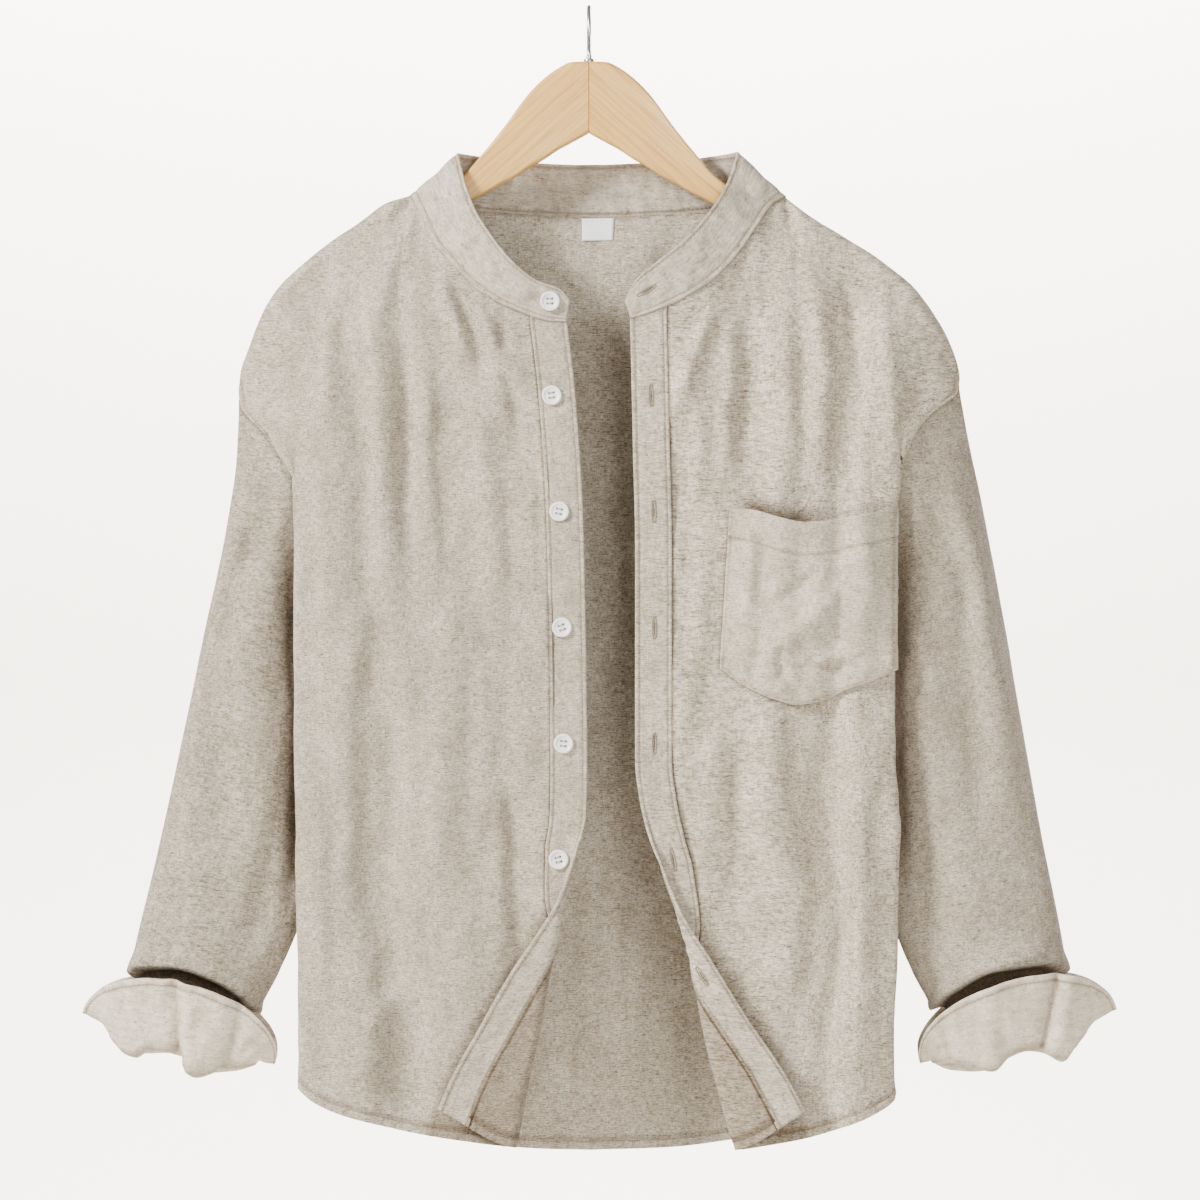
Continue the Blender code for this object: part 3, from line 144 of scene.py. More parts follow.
NECK_FRONT = {  # from the centre front to the neck point: seam o, y, h, then free edge o, y, h
    "right": [
        (16.7, -40, 239.5, 14.5, -40, 224), (27, -40.5, 239, 21, -41, 216), (51, -41, 232, 39, -41.5, 209),
        (76, -40, 219.5, 59, -41, 193), (92, -37, 207, 69, -39, 181), (104, -33, 193.5, 77.5, -35, 169),
        (116, -26, 179.5, 85, -29, 157), (128, -13, 154, 94, -17, 134), (134, -3, 142, 99.5, -4, 110.5),
    ],
    "left": [
        (31.2, -40, 237, 27.5, -40, 224), (41, -40.5, 234, 33.5, -41, 211), (70, -41, 221.6, 51, -42, 195),
        (93, -38, 207, 72, -41, 178), (110, -32, 190, 86, -36, 163), (127, -24, 166, 99, -26, 145),
        (138, -12, 150, 108, -14, 127), (148, -3, 143, 113, -4, 109.5),
    ],
}
NECK_BACK = {  # from the neck point to the centre back, the same columns
    "right": [
        (134, -3, 142, 99.5, -4, 110.5), (112, 14, 148, 84, 12, 112), (70, 24, 154, 54, 22, 115.5),
        (0, 28, 157, 0, 26, 117.5),
    ],
    "left": [
        (148, -3, 143, 113, -4, 109.5), (121, 14, 148, 93, 12, 112), (75, 24, 154, 57, 22, 115.5),
        (0, 28, 157, 0, 26, 117.5),
    ],
}
FRONT_HEM = {  # u, h
    "right": [
        (0, 837), (0.26, 866), (0.36, 863), (0.5, 857), (0.65, 846), (0.76, 834), (0.83, 822), (1, 812),
    ],
    "left": [
        (0, 839), (0.26, 868), (0.36, 864), (0.5, 858), (0.65, 849), (0.76, 839), (0.83, 828), (1, 817),
    ],
}
BACK_HEM = {  # u, h
    "right": [(0, 874), (0.2, 872), (0.45, 862), (0.65, 848), (0.78, 834), (0.86, 824), (1, 812)],
    "left": [(0, 874), (0.2, 872), (0.45, 862), (0.65, 850), (0.78, 838), (0.86, 828), (1, 817)],
}
FRONT_FOLDS = {  # u at the top and the bottom, h at the top and the bottom, half width in u, height
    "right": [
        (0.41, 0.32, 190, 800, 0.060, 4.0), (0.56, 0.46, 200, 700, 0.070, 5.0),
        (0.68, 0.63, 230, 860, 0.060, 4.5), (0.49, 0.54, 520, 880, 0.065, -4.0),
    ],
    "left": [
        (0.40, 0.34, 190, 760, 0.060, 4.0), (0.55, 0.48, 200, 640, 0.060, 4.5),
        (0.69, 0.64, 230, 860, 0.060, 4.5), (0.52, 0.56, 540, 880, 0.065, -4.0),
    ],
}
BACK_FOLDS = [  # the same columns, with u on the right negative
    (-0.62, -0.52, 210, 860, 0.060, 5.0), (-0.30, -0.20, 230, 870, 0.070, 4.5),
    (0.05, 0.02, 260, 870, 0.060, -4.0), (0.34, 0.26, 230, 870, 0.070, 4.5),
    (0.64, 0.56, 210, 860, 0.060, 5.0),
]
SLEEVE = {  # along, outer fold's o and h, inner fold's o and h, y of the middle, half depth
    "right": [
        (0.00, 265.5, 301, 198, 474, 0, 28), (0.12, 268, 345, 206, 510, 0, 29),
        (0.28, 277, 400, 208, 548, 0, 29), (0.45, 291, 468, 209, 592, 0, 28),
        (0.62, 306, 540, 212, 636, 0, 26), (0.80, 328, 640, 219, 688, 0, 25),
        (0.92, 345, 710, 236, 730, 0, 24), (1.00, 354, 752, 258, 772, 0, 19),
    ],
    "left": [
        (0.00, 281.5, 290, 208, 462, 0, 28), (0.12, 290, 335, 217, 500, 0, 29),
        (0.28, 301, 385, 219, 540, 0, 29), (0.45, 314, 455, 220, 586, 0, 28),
        (0.62, 328, 535, 223, 634, 0, 26), (0.80, 346, 636, 230, 690, 0, 25),
        (0.92, 360, 708, 245, 730, 0, 24), (1.00, 367, 750, 268, 772, 0, 19),
    ],
}
SLEEVE_FOLDS = [  # round at the top and the bottom, along at the top and the bottom, half width, height
    (0.14, 0.20, 0.05, 0.80, 0.035, -6.0), (0.30, 0.34, 0.25, 0.95, 0.035, -4.0),
    (0.86, 0.80, 0.05, 0.80, 0.035, -6.0),
]
CUFF = {  # outer o and h, inner o and h
    "right": {"fold": (361, 781, 257, 806), "rim": (386, 765, 240, 806)},
    "left": {"fold": (375, 780, 266, 805), "rim": (402, 762, 253, 805)},
}
CUFF_SEAM, CUFF_TURN = 1.0, 3.2  # below the sleeve's end, and the radius of the fold
CUFF_DEPTH_FOLD, CUFF_DEPTH_RIM, CUFF_RISE = 20.0, 36.0, 44.0
CUFF_DROOP = {  # round, how far the fold at the bottom hangs lower
    "right": [
        (0, 0), (0.146, 14), (0.174, 6), (0.22, 4), (0.253, 4.5), (0.274, 16), (0.2935, 18), (0.354, 8),
        (0.42, 3), (0.5, 0), (0.62, 9), (0.70, 15), (0.76, 6), (0.86, 12), (1, 0),
    ],
    "left": [
        (0, 0), (0.11, 11.5), (0.138, 18.6), (0.183, 8), (0.223, 4), (0.258, 6), (0.297, 13.7),
        (0.348, 6.4), (0.42, 0), (0.5, 0), (0.60, 8), (0.69, 14), (0.77, 5), (0.87, 12), (1, 0),
    ],
}
DROOP_RINGS = (0, 0.7, 0.9, 1, 1, 1, 0.75, 0.3, 0)  # how much of that each ring takes
POCKET_H, POCKET_DEEP = 382.0, 121.0
POCKET_TOP = [(0, 382), (0.07, 382), (0.45, 392), (0.85, 385), (1, 381)]  # along, h
POCKET_BOTTOM = [  # along, h
    (0, 503), (0.14, 516), (0.3, 526), (0.44, 531), (0.6, 527), (0.76, 518), (0.95, 508), (1, 504),
]
POCKET_INNER = [(0, 107), (1, 99)]  # down, o
POCKET_EASE = 0.8  # over the panel's folds
POCKET_SWELL = [(0, 13), (0.25, 10), (0.6, 6.5), (0.9, 1.8), (1, 1.2)]  # down, how far it stands off
ARM_PROFILE = [  # o, top h, lower h, half thickness
    (0.15, 40, 95, 7.0), (13, 40.5, 102, 7.0), (24, 45.5, 108, 7.0), (33, 52, 114, 7.0),
    (45, 63.6, 121, 7.0), (54, 75, 127, 6.8), (62, 86.4, 131.5, 6.6), (71, 98, 136.5, 6.4),
    (80, 109, 141.5, 6.2), (98, 129, 151, 6.0), (115, 140.5, 160.5, 5.6), (134, 151, 170, 5.2),
    (155, 160, 179, 4.8), (165, 164, 183, 4.6), (175, 168, 187, 4.6), (190, 175, 193, 4.6),
    (198, 180, 198, 4.6), (206, 186, 203, 4.6), (215, 193, 209, 4.6), (220, 198, 209, 3.0),
]
ARM_CORNER = 3.2
ARM_SEAT = 2.8  # from the shoulder seam down to the wood, straight down the slope of the arm
ARM_CARRIES_TO = 212.0  # h where the shirt leaves the arm
ARM_DEEP = 10.0  # the least height of the wood

FOLD_DRAW, FOLD_REACH = 0.45, 0.04  # columns close in on a turned corner's fold
STEP = 1e-4  # of a share, for slopes


# Curves and small sums

def monotone(xs, ys, at):
    """A smooth curve through points that doesn't overshoot them, held level past its ends."""
    at = np.clip(np.asarray(at, float), xs[0], xs[-1])
    step = np.diff(xs)
    slope = np.diff(ys) / step
    tangent = np.zeros(len(xs))
    tangent[0], tangent[-1] = slope[0], slope[-1]
    for k in range(1, len(xs) - 1):
        if slope[k - 1] * slope[k] > 0:
            before, after = 2 * step[k] + step[k - 1], step[k] + 2 * step[k - 1]
            tangent[k] = (before + after) / (before / slope[k - 1] + after / slope[k])
    k = np.clip(np.searchsorted(xs, at, side="right") - 1, 0, len(xs) - 2)
    t = (at - xs[k]) / step[k]
    bend = step[k] * (tangent[k] * t * (1 - t) ** 2 - tangent[k + 1] * t**2 * (1 - t))
    return ys[k] + (ys[k + 1] - ys[k]) * t**2 * (3 - 2 * t) + bend


def table(rows, column, at):
    """A column of a table, at a value of its first column, which rises."""
    rows = np.array(rows, float)
    return monotone(rows[:, 0], rows[:, column], at)


def run_length(line):
    """How far along a line each of its points is."""
    return np.concatenate([[0], np.cumsum(np.linalg.norm(np.diff(line, axis=0), axis=1))])


def along(rows, share):
    """The point at a share of the length of the line through a table's first three columns."""
    rows = np.array(rows, float)
    length = run_length(rows[:, :3])
    share = np.asarray(share, float) * length[-1]
    return np.stack([monotone(length, rows[:, k], share) for k in range(rows.shape[1])], axis=-1)


def smooth(value):
    value = np.clip(value, 0, 1)
    return value * value * (3 - 2 * value)


def near(distance, width):
    """1 at a line, fading over a width on both sides."""
    return np.exp(-((distance / width) ** 2))


def on_grids(surface):
    """Lets a surface over rows of two shares take grids of them, or single ones."""
    def whole(u, v):
        u, v = np.broadcast_arrays(np.asarray(u, float), np.asarray(v, float))
        return surface(u.ravel(), v.ravel()).reshape(*u.shape, 3)

    return whole


def crossed(across, down):
    """Every pair of an across and a down, as two grids."""
    return np.meshgrid(across, down, indexing="ij")


def through(stations, points, u):
    """Cardinal curves: each sample i has its own points[:, i] at the shared stations."""
    stations = np.array(stations)
    step = np.diff(stations)
    slope = np.diff(points, axis=0) / step.reshape(-1, 1, 1)
    tangent = np.empty_like(points)
    tangent[0], tangent[-1] = slope[0], slope[-1]
    for k in range(1, len(stations) - 1):
        share = step[k - 1] / (step[k - 1] + step[k])
        tangent[k] = slope[k - 1] * (1 - share) + slope[k] * share
    k = np.clip(np.searchsorted(stations, u, side="right") - 1, 0, len(step) - 1)
    sample = np.arange(len(u))
    t = ((u - stations[k]) / step[k]).reshape(-1, 1)
    wide = step[k].reshape(-1, 1)
    a, b = points[k, sample], points[k + 1, sample]
    into, out = tangent[k, sample] * wide, tangent[k + 1, sample] * wide
    return (
        a * (1 + 2 * t) * (1 - t) ** 2
        + b * t**2 * (3 - 2 * t)
        + into * t * (1 - t) ** 2
        - out * t**2 * (1 - t)
    )


def folds(rows, across, down):
    """The height of the soft folds at a place across and down a piece."""
    total = np.zeros_like(across)
    for top_u, low_u, top, low, half_width, height in rows:
        share = np.clip((down - top) / (low - top), 0, 1)
        centre = top_u + (low_u - top_u) * share
        ends = smooth(share / 0.2) * smooth((1 - share) / 0.2 + 0.35 * (height > 0))
        total += height * ends * near(across - centre, half_width)
    return total


def stack(side, o, y, h):
    return np.stack([SIGN[side] * o, y, -h], axis=-1)


# The body's surfaces: station u across, share v down

def turning(side, cloth, h):
    """The distance out and the depth of the cloth near a front edge, turned back where it is."""
    turned = table(FRONT_EDGE[side], 2, h)
    edge = table(FRONT_EDGE[side], 1, h)
    start = edge - TURN_RADIUS * np.clip(turned / UNTURNED, 0, 1)
    past = cloth - turned
    angle = np.clip(past / TURN_RADIUS, -math.pi / 2, math.pi / 2)
    beyond = np.maximum(np.abs(past) + UNTURNED, 0)
    o = start + TURN_RADIUS * (1 - np.cos(angle)) + beyond
    lift = FLAP_LIFT * np.where(past < 0, beyond, 0)
    share = np.clip((o - edge) / TURNING, 0, 1)
    depth = table(FRONT_DEPTH, 1, h) * (1 - share) + table(FRONT_DEPTH, 2, h) * share
    return o, depth - TURN_RADIUS * (1 - np.sin(angle)) - lift


def parting(side, h):
    top, underarm = ARMHOLE_H[side]
    return PARTING * smooth((h - top) / 25) * smooth((underarm + 25 - h) / 35)


def around_side(side, h, behind):
    """The stations past U_MIDDLE, round the side's ridge to the seam, and their places."""
    column = 3 if behind else 2
    away = 1 if behind else -1
    ridge_o, ridge_y = table(RIDGE[side], 1, h), table(RIDGE[side], column, h)
    seam_o, seam_y = table(ARMHOLE[side], 1, h), table(ARMHOLE[side], column, h)
    seam_y = seam_y + away * parting(side, h)
    return [
        (U_NEAR, ridge_o - NEAR_RIDGE, ridge_y + 0.5 * away),
        (U_RIDGE, ridge_o, ridge_y - 4 * away),
        (U_BEHIND, (ridge_o + seam_o) / 2 + 1, (ridge_y + seam_y) / 2),
        (1.0, seam_o, seam_y),
    ]


def place(stations, u):
    points = np.stack([np.stack([o, y], axis=-1) for _, o, y in stations])
    return through([s[0] for s in stations], points, u)


def front_across(side, u, h):
    o, y = turning(side, TURNING * np.minimum(u, U_TURNING) / U_TURNING, h)
    before = turning(side, np.full_like(h, TURNING * U_BEFORE_TURNING / U_TURNING), h)
    after = turning(side, np.full_like(h, TURNING), h)
    ridge = table(RIDGE[side], 1, h)
    middle = (U_MIDDLE, (after[0] + ridge) / 2, table(FRONT_DEPTH, 3, h))
    stations = [(U_BEFORE_TURNING, *before), (U_TURNING, *after), middle]
    outer = place(stations + around_side(side, h, False), np.maximum(u, U_TURNING))
    near_edge = u < U_TURNING
    return np.where(near_edge, o, outer[:, 0]), np.where(near_edge, y, outer[:, 1])


def collar_rows():
    """The collar's seam and free edge, from the right tab round the back to the left tab."""
    right = NECK_FRONT["right"] + NECK_BACK["right"][1:]
    left = NECK_FRONT["left"] + NECK_BACK["left"][1:-1]
    rows = [(-a, b, -c, -d, e, -f) for a, b, c, d, e, f in right]
    return np.array(rows + [(a, b, -c, d, e, -f) for a, b, c, d, e, f in reversed(left)], float)


def collar(f, w):
    """The collar: f along it, w up from the seam."""
    f, w = np.broadcast_arrays(np.asarray(f, float), np.asarray(w, float))
    line = along(COLLAR_ROWS, f)
    seam, free = line[..., :3], line[..., 3:]
    return seam + (free - seam) * w[..., None]


def neck_shares():
    """Where the two neck points and the centre back lie along the collar."""
    length = run_length(COLLAR_ROWS[:, :3])
    right = len(NECK_FRONT["right"]) - 1
    centre = right + len(NECK_BACK["right"]) - 1
    left = centre + len(NECK_BACK["left"]) - 1
    rows = {"right": right, "centre": centre, "left": left}
    return {name: length[row] / length[-1] for name, row in rows.items()}


COLLAR_ROWS = collar_rows()
NECK_SHARES = neck_shares()


def neck_seam(f):
    """The neckline as distance out, depth and drop."""
    seam = collar(f, 0.0)
    return np.stack([np.abs(seam[:, 0]), seam[:, 1], -seam[:, 2]], axis=-1)


def front_top(side, u):
    """The top edge of a front: the neckline and then the shoulder."""
    shares = np.linspace(0 if side == "right" else 1, NECK_SHARES[side], 300)
    seam = neck_seam(shares)
    cloth = TURNING * np.minimum(u, U_TURNING) / U_TURNING
    to_neck = np.clip((u - U_TURNING) / (U_NECK - U_TURNING), 0, 1)
    o = seam[0, 0] + cloth
    o = o + (seam[-1, 0] - o) * to_neck
    neck = neck_seam(np.interp(o, seam[:, 0], shares))
    shoulder = along(SHOULDER[side], np.clip((u - U_NECK) / (1 - U_NECK), 0, 1))
    return np.where((u < U_NECK)[:, None], neck, shoulder)


def hang(base, top, hem, u, v, away):
    """Lets a panel fall from its top edge into its own section: base(h) gives o and y."""
    roll = SHOULDER_ROLL * smooth((u - U_NECK) / 0.05) * (1 - smooth((u - U_RIDGE) / 0.18))
    settle = 50 - 26 * smooth((u - U_NEAR) / (U_BEHIND - U_NEAR))
    h = top[:, 2] + (hem - top[:, 2]) * v
    drop = h - top[:, 2]
    start_o, start_y = base(top[:, 2])
    o, y = base(h)
    o = o + (top[:, 0] - start_o) * np.exp(-drop / settle)
    y = y + (top[:, 1] + away * roll - start_y) * np.exp(-drop / 45)
    to_go = 1 - np.clip(drop / np.maximum(roll, 1e-6), 0, 1)
    return o, y - away * roll * (1 - np.sqrt(1 - to_go**2)), h


def front(side):
    @on_grids
    def surface(u, v):
        hem = table(FRONT_HEM[side], 1, u)
        o, y, h = hang(lambda h: front_across(side, u, h), front_top(side, u), hem, u, v, -1)
        return stack(side, o, y - folds(FRONT_FOLDS[side], u, h), h)

    return surface


def back_across(side, u, h):
    ridge = table(RIDGE[side], 1, h)
    half = table(BACK_DEPTH, 2, h)
    stations = [
        (-U_BACK_HALF, -ridge / 2, half),
        (0.0, np.zeros_like(h), table(BACK_DEPTH, 1, h)),
        (U_BACK_HALF, ridge / 2, half),
    ]
    place_at = place(stations + around_side(side, h, True), u)
    return place_at[:, 0], place_at[:, 1]


@on_grids
def back(u, v):
    """The back panel: u runs from the right side seam (-1) to the left one (1)."""
    result = np.empty((len(u), 3))
    for side, chosen in (("right", u < 0), ("left", u >= 0)):
        if not chosen.any():
            continue
        a, b = np.abs(u[chosen]), v[chosen]
        to_neck = (NECK_SHARES[side] - NECK_SHARES["centre"]) * np.clip(a / U_BACK_NECK, 0, 1)
        neck = neck_seam(NECK_SHARES["centre"] + to_neck)
        shoulder = along(SHOULDER[side], np.clip((a - U_BACK_NECK) / (1 - U_BACK_NECK), 0, 1))
        top = np.where((a < U_BACK_NECK)[:, None], neck, shoulder)
        hem = table(BACK_HEM[side], 1, a)
        o, y, h = hang(lambda h: back_across(side, a, h), top, hem, a, b, 1)
        result[chosen] = stack(side, o, y + folds(BACK_FOLDS, u[chosen], h), h)
    return result


# The sleeves: s round from the outer fold by the front, t along

def armhole(side, s):
    """The sleeve's end at the armhole: s round it, down the front and up the back."""
    h = np.linspace(*ARMHOLE_H[side], 60)
    o = table(ARMHOLE[side], 1, h)
    ahead, behind = table(ARMHOLE[side], 2, h), table(ARMHOLE[side], 3, h)
    inside = np.minimum(parting(side, h), 0.3 * (behind - ahead))
    front_half = along(np.stack([o, ahead + inside, h], axis=-1), np.clip(2 * s, 0, 1))
    back_half = along(np.stack([o, behind - inside, h], axis=-1), np.clip(2 - 2 * s, 0, 1))
    return np.where((s <= 0.5)[..., None], front_half, back_half)


def ring(outer_o, outer_h, inner_o, inner_h, middle_y, half_depth, s):
    """A flattened ring between an outer and an inner fold."""
    turn = 2 * math.pi * s
    out, forward = np.cos(turn), np.sin(turn)
    forward = np.sign(forward) * np.abs(forward) ** 0.85
    o = (outer_o + inner_o) / 2 + (outer_o - inner_o) / 2 * out
    h = (outer_h + inner_h) / 2 + (outer_h - inner_h) / 2 * out
    return np.stack([o, middle_y - half_depth * forward, h], axis=-1)


def sleeve_ring(side, s, t):
    rows = SLEEVE[side]
    outer_o, outer_h, inner_o, inner_h, middle_y, half_depth = (table(rows, k, t) for k in range(1, 7))
    free = ring(outer_o, outer_h, inner_o, inner_h, middle_y, half_depth, s)
    share = (1 + np.cos(2 * math.pi * s)) / 2
    first = rows[0]
    move_o = (outer_o - first[1]) * share + (inner_o - first[3]) * (1 - share)
    move_h = (outer_h - first[2]) * share + (inner_h - first[4]) * (1 - share)
    sewn = armhole(side, s) + np.stack([move_o, np.zeros_like(s), move_h], axis=-1)
    blend = smooth(t / 0.35)[..., None]
    return sewn * (1 - blend) + free * blend


def sleeve(side):
    @on_grids
    def surface(s, t):
        s = s % 1.0
        o, y, h = sleeve_ring(side, s, t).T
        return stack(side, o, y + np.where(s < 0.5, -1, 1) * folds(SLEEVE_FOLDS, s, t), h)

    return surface


def cuff_profile(side):
    """The cuff's rings from the sleeve's end, round the fold at the bottom and up to the free edge."""
    end = SLEEVE[side][-1]
    fold, rim = np.array(CUFF[side]["fold"], float), np.array(CUFF[side]["rim"], float)
    seam = np.array([end[1], end[2] + CUFF_SEAM, end[3], end[4] + CUFF_SEAM], float)
    wider = np.array([CUFF_TURN, 0, -CUFF_TURN, 0])
    raised = np.array([0, CUFF_TURN, 0, CUFF_TURN])
    rows = [(seam, end[6], 0.0)]
    for out, up in ((-1, -1.6), (-0.7, -0.3), (0, 0), (0.7, -0.3)):
        rows.append((fold + out * wider + up * raised, CUFF_DEPTH_FOLD + out * CUFF_TURN, 0.0))
    for share in (0.12, 0.4, 0.7, 1.0):
        corners = fold + wider - raised + (rim - fold - wider + raised) * share
        depth = CUFF_DEPTH_FOLD + CUFF_TURN + (CUFF_DEPTH_RIM - CUFF_DEPTH_FOLD - CUFF_TURN) * share
        rows.append((corners, depth, CUFF_RISE * share))
    return rows


def cuff_grid(side, around):
    first, last = SLEEVE[side][-3], SLEEVE[side][-1]
    run_o = (last[1] + last[3] - first[1] - first[3]) / 2
    run_h = (last[2] + last[4] - first[2] - first[4]) / 2
    length = math.hypot(run_o, run_h)
    droop = table(CUFF_DROOP[side], 1, around)
    rings = []
    for (corners, depth, rise), share in zip(cuff_profile(side), DROOP_RINGS):
        point = ring(*corners, 0.0, depth, around)
        lifted = rise * np.abs(np.sin(2 * math.pi * around)) ** 0.9 - share * droop
        point[:, 0] -= lifted * run_o / length
        point[:, 2] -= lifted * run_h / length
        rings.append(stack(side, point[:, 0], point[:, 1], point[:, 2]))
    return np.stack(rings, axis=1)


# Directions and places on the surfaces

def normalised(vectors):
    return vectors / np.maximum(np.linalg.norm(vectors, axis=-1, keepdims=True), 1e-9)


def lines_through(grid, axis, closed=False):
    """The direction at each point of the grid's lines along an axis."""
    points = np.moveaxis(grid, axis, 0)
    ahead = normalised(np.roll(points, -1, axis=0) - points)
    if not closed:
        ahead[-1] = ahead[-2]
    behind = np.roll(ahead, 1, axis=0)
    if not closed:
        behind[0] = ahead[0]
    return np.moveaxis(normalised(ahead + behind), 0, axis)


def normals_of(grid, closed=False):
    return normalised(np.cross(lines_through(grid, 0, closed), lines_through(grid, 1)))


def top_h(side, u):
    """How far down a front's top edge is, at any grid of stations."""
    return front_top(side, u.ravel())[:, 2].reshape(u.shape)


def toward_fold(side, u, v):
    """Moves columns toward the fold of the turned-back corner, and keeps the outer two."""
    top = top_h(side, u)
    h = top + (table(FRONT_HEM[side], 1, u) - top) * v
    fold = PER_MM * table(FRONT_EDGE[side], 2, h)
    low, high = u.min(), min(u.max(), U_TURNING)
    inside = smooth(np.clip(np.minimum(u - low, high - u), 0, None) / FOLD_REACH * 2)
    return u + FOLD_DRAW * inside * (fold - u) * near(u - fold, FOLD_REACH)


def station_at(side, o, h):
    """The station u where a front lies at a distance out and a drop."""
    u = np.linspace(U_STRIP, U_NEAR, 400)
    return np.interp(o, np.abs(front(side)(u, share_at(side, u, h))[:, 0]), u)


def share_at(side, u, h):
    """The share v of a front's fall at which it reaches a drop."""
    top = top_h(side, u)
    return (h - top) / (table(FRONT_HEM[side], 1, u) - top)


def normal_beside(surface, u, v, forward):
    """A surface's normal at one place, on its front (-1) or on its back (1), from steps inside it."""
    steps = [-STEP if share > 0.5 else STEP for share in (u, v)]
    here, beside, below = surface(np.array([u, u + steps[0], u]), np.array([v, v, v + steps[1]]))
    across, down = normalised((beside - here) / steps[0]), normalised((below - here) / steps[1])
    normal = normalised(np.cross(across, down))
    return normal * np.sign(normal[1] * forward)


def arm_section(side, o, top, low, half, steps):
    """A rounded rectangle across an arm, in the plane at o, with so many points round each corner."""
    corner = min(ARM_CORNER, half * 0.8)
    middle_y = -HANGER_BOW * (o / HANGER_REACH) ** 2
    upper, lower = -top - corner, corner - low
    points = []
    for quarter, (away, z) in enumerate(((1, upper), (-1, upper), (-1, lower), (1, lower))):
        for turn in np.radians(90 * quarter + np.linspace(0, 90, steps)):
            y = middle_y + away * (half - corner) + corner * math.cos(turn)
            points.append((SIGN[side] * o, y, z + corner * math.sin(turn)))
    return np.array(points)


def seated_top(side, o, top):
    """The top of the wood, lowered where the shoulder lies on it."""
    carried = np.array([(row[0], row[2]) for row in SHOULDER[side] if row[2] <= ARM_CARRIES_TO], float)
    if o < carried[0, 0] + ARM_DEEP / 2:
        return top
    return max(top, float(monotone(carried[:, 0], carried[:, 1], o)) + ARM_SEAT)


# ---------------------------------------------------------------------------------------------
# From here on: what is seen.  Each cloth piece is a fine mesh through the same surface, with its
# creases, puckers, hems and stitching.  Lengths stay in millimetres until a mesh is written.

# Creases: where they start and end (x, h), how far they bow sideways, half width,
# height (a trough is negative).
FRONT_CREASES = {
    "right": [
        (-132, 150, -165, 262, -4, 9, 3.0), (-165, 232, -156, 470, 3, 10, 2.8),
        (-112, 200, -86, 264, -4, 6, 3.0), (-102, 206, -72, 290, -4, 6, -2.4),
        (-86, 218, -42, 300, -5, 6, 3.0), (-68, 232, -48, 330, -4, 6, -2.0),
        (-116, 266, -111, 470, 4, 13, -3.4), (-84, 296, -73, 470, 3, 9, 3.0),
        (-190, 205, -198, 340, -4, 9, 2.6), (-143, 250, -140, 420, 3, 8, -2.4),
        (-205, 330, -200, 520, 3, 9, 2.0), (-180, 450, -182, 540, 3, 12, 2.6),
        (-117, 525, -108, 665, -3, 12, 3.2), (-62, 590, -56, 745, 3, 9, -3.0),
        (-150, 520, -146, 700, 3, 12, -2.4), (-84, 500, -80, 640, 3, 10, 2.0),
        (-148, 745, -176, 830, -5, 14, 2.6), (-200, 560, -196, 800, 3, 10, -1.8),
        (-40, 330, -36, 460, 2, 7, -1.4),
    ],
    "left": [
        (94, 226, 68, 318, -4, 7, 3.0), (80, 300, 83, 378, 2, 8, 2.4), (172, 200, 172, 378, 4, 10, 3.2),
        (224, 208, 226, 377, 2, 8, 2.8), (125, 212, 124, 377, -4, 12, -3.4),
        (198, 206, 199, 377, 3, 9, -3.0), (150, 226, 147, 377, 3, 8, 2.0), (106, 236, 102, 372, 2, 7, 1.8),
        (134, 540, 137, 690, 3, 12, 3.0), (204, 545, 203, 765, 2, 11, 2.2),
        (168, 565, 170, 800, 4, 13, -2.6), (98, 548, 92, 655, -3, 10, 2.2),
        (113, 565, 108, 705, 2, 9, -2.2), (84, 690, 116, 768, 5, 10, -2.6),
        (212, 740, 176, 830, -6, 13, 2.6), (86, 380, 82, 520, 2, 9, 1.8),
    ],
}
BACK_CREASES = [
    (-120, 175, -96, 330, 6, 12, 2.4), (-160, 190, -150, 380, -5, 12, -2.2),
    (-70, 170, -60, 300, 4, 12, 1.8), (-20, 190, -26, 420, 5, 14, 2.2), (60, 172, 76, 330, -5, 12, 2.2),
    (118, 176, 126, 350, 5, 12, -2.2), (165, 190, 160, 400, -4, 12, 2.4),
    (-190, 260, -196, 460, 4, 11, 2.0), (196, 260, 204, 470, -4, 11, 2.0),
    (-110, 420, -120, 640, 6, 15, -2.2), (-60, 460, -40, 760, -8, 16, 2.6), (20, 420, 30, 640, 5, 15, -2.2),
    (90, 440, 80, 720, 7, 16, 2.4), (150, 470, 164, 700, -6, 14, -2.2), (-150, 600, -168, 820, 6, 14, 2.4),
    (120, 700, 100, 850, 5, 14, 2.2), (190, 620, 186, 800, 3, 11, 1.8), (-10, 700, 10, 860, 4, 15, -2.0),
    (-100, 700, -90, 850, -4, 13, 1.8),
]
CREASE_SCALE = 1.75  # of all the creases' heights
CREASE_WANDER = 38.0  # mm along a crease from one sway to the next

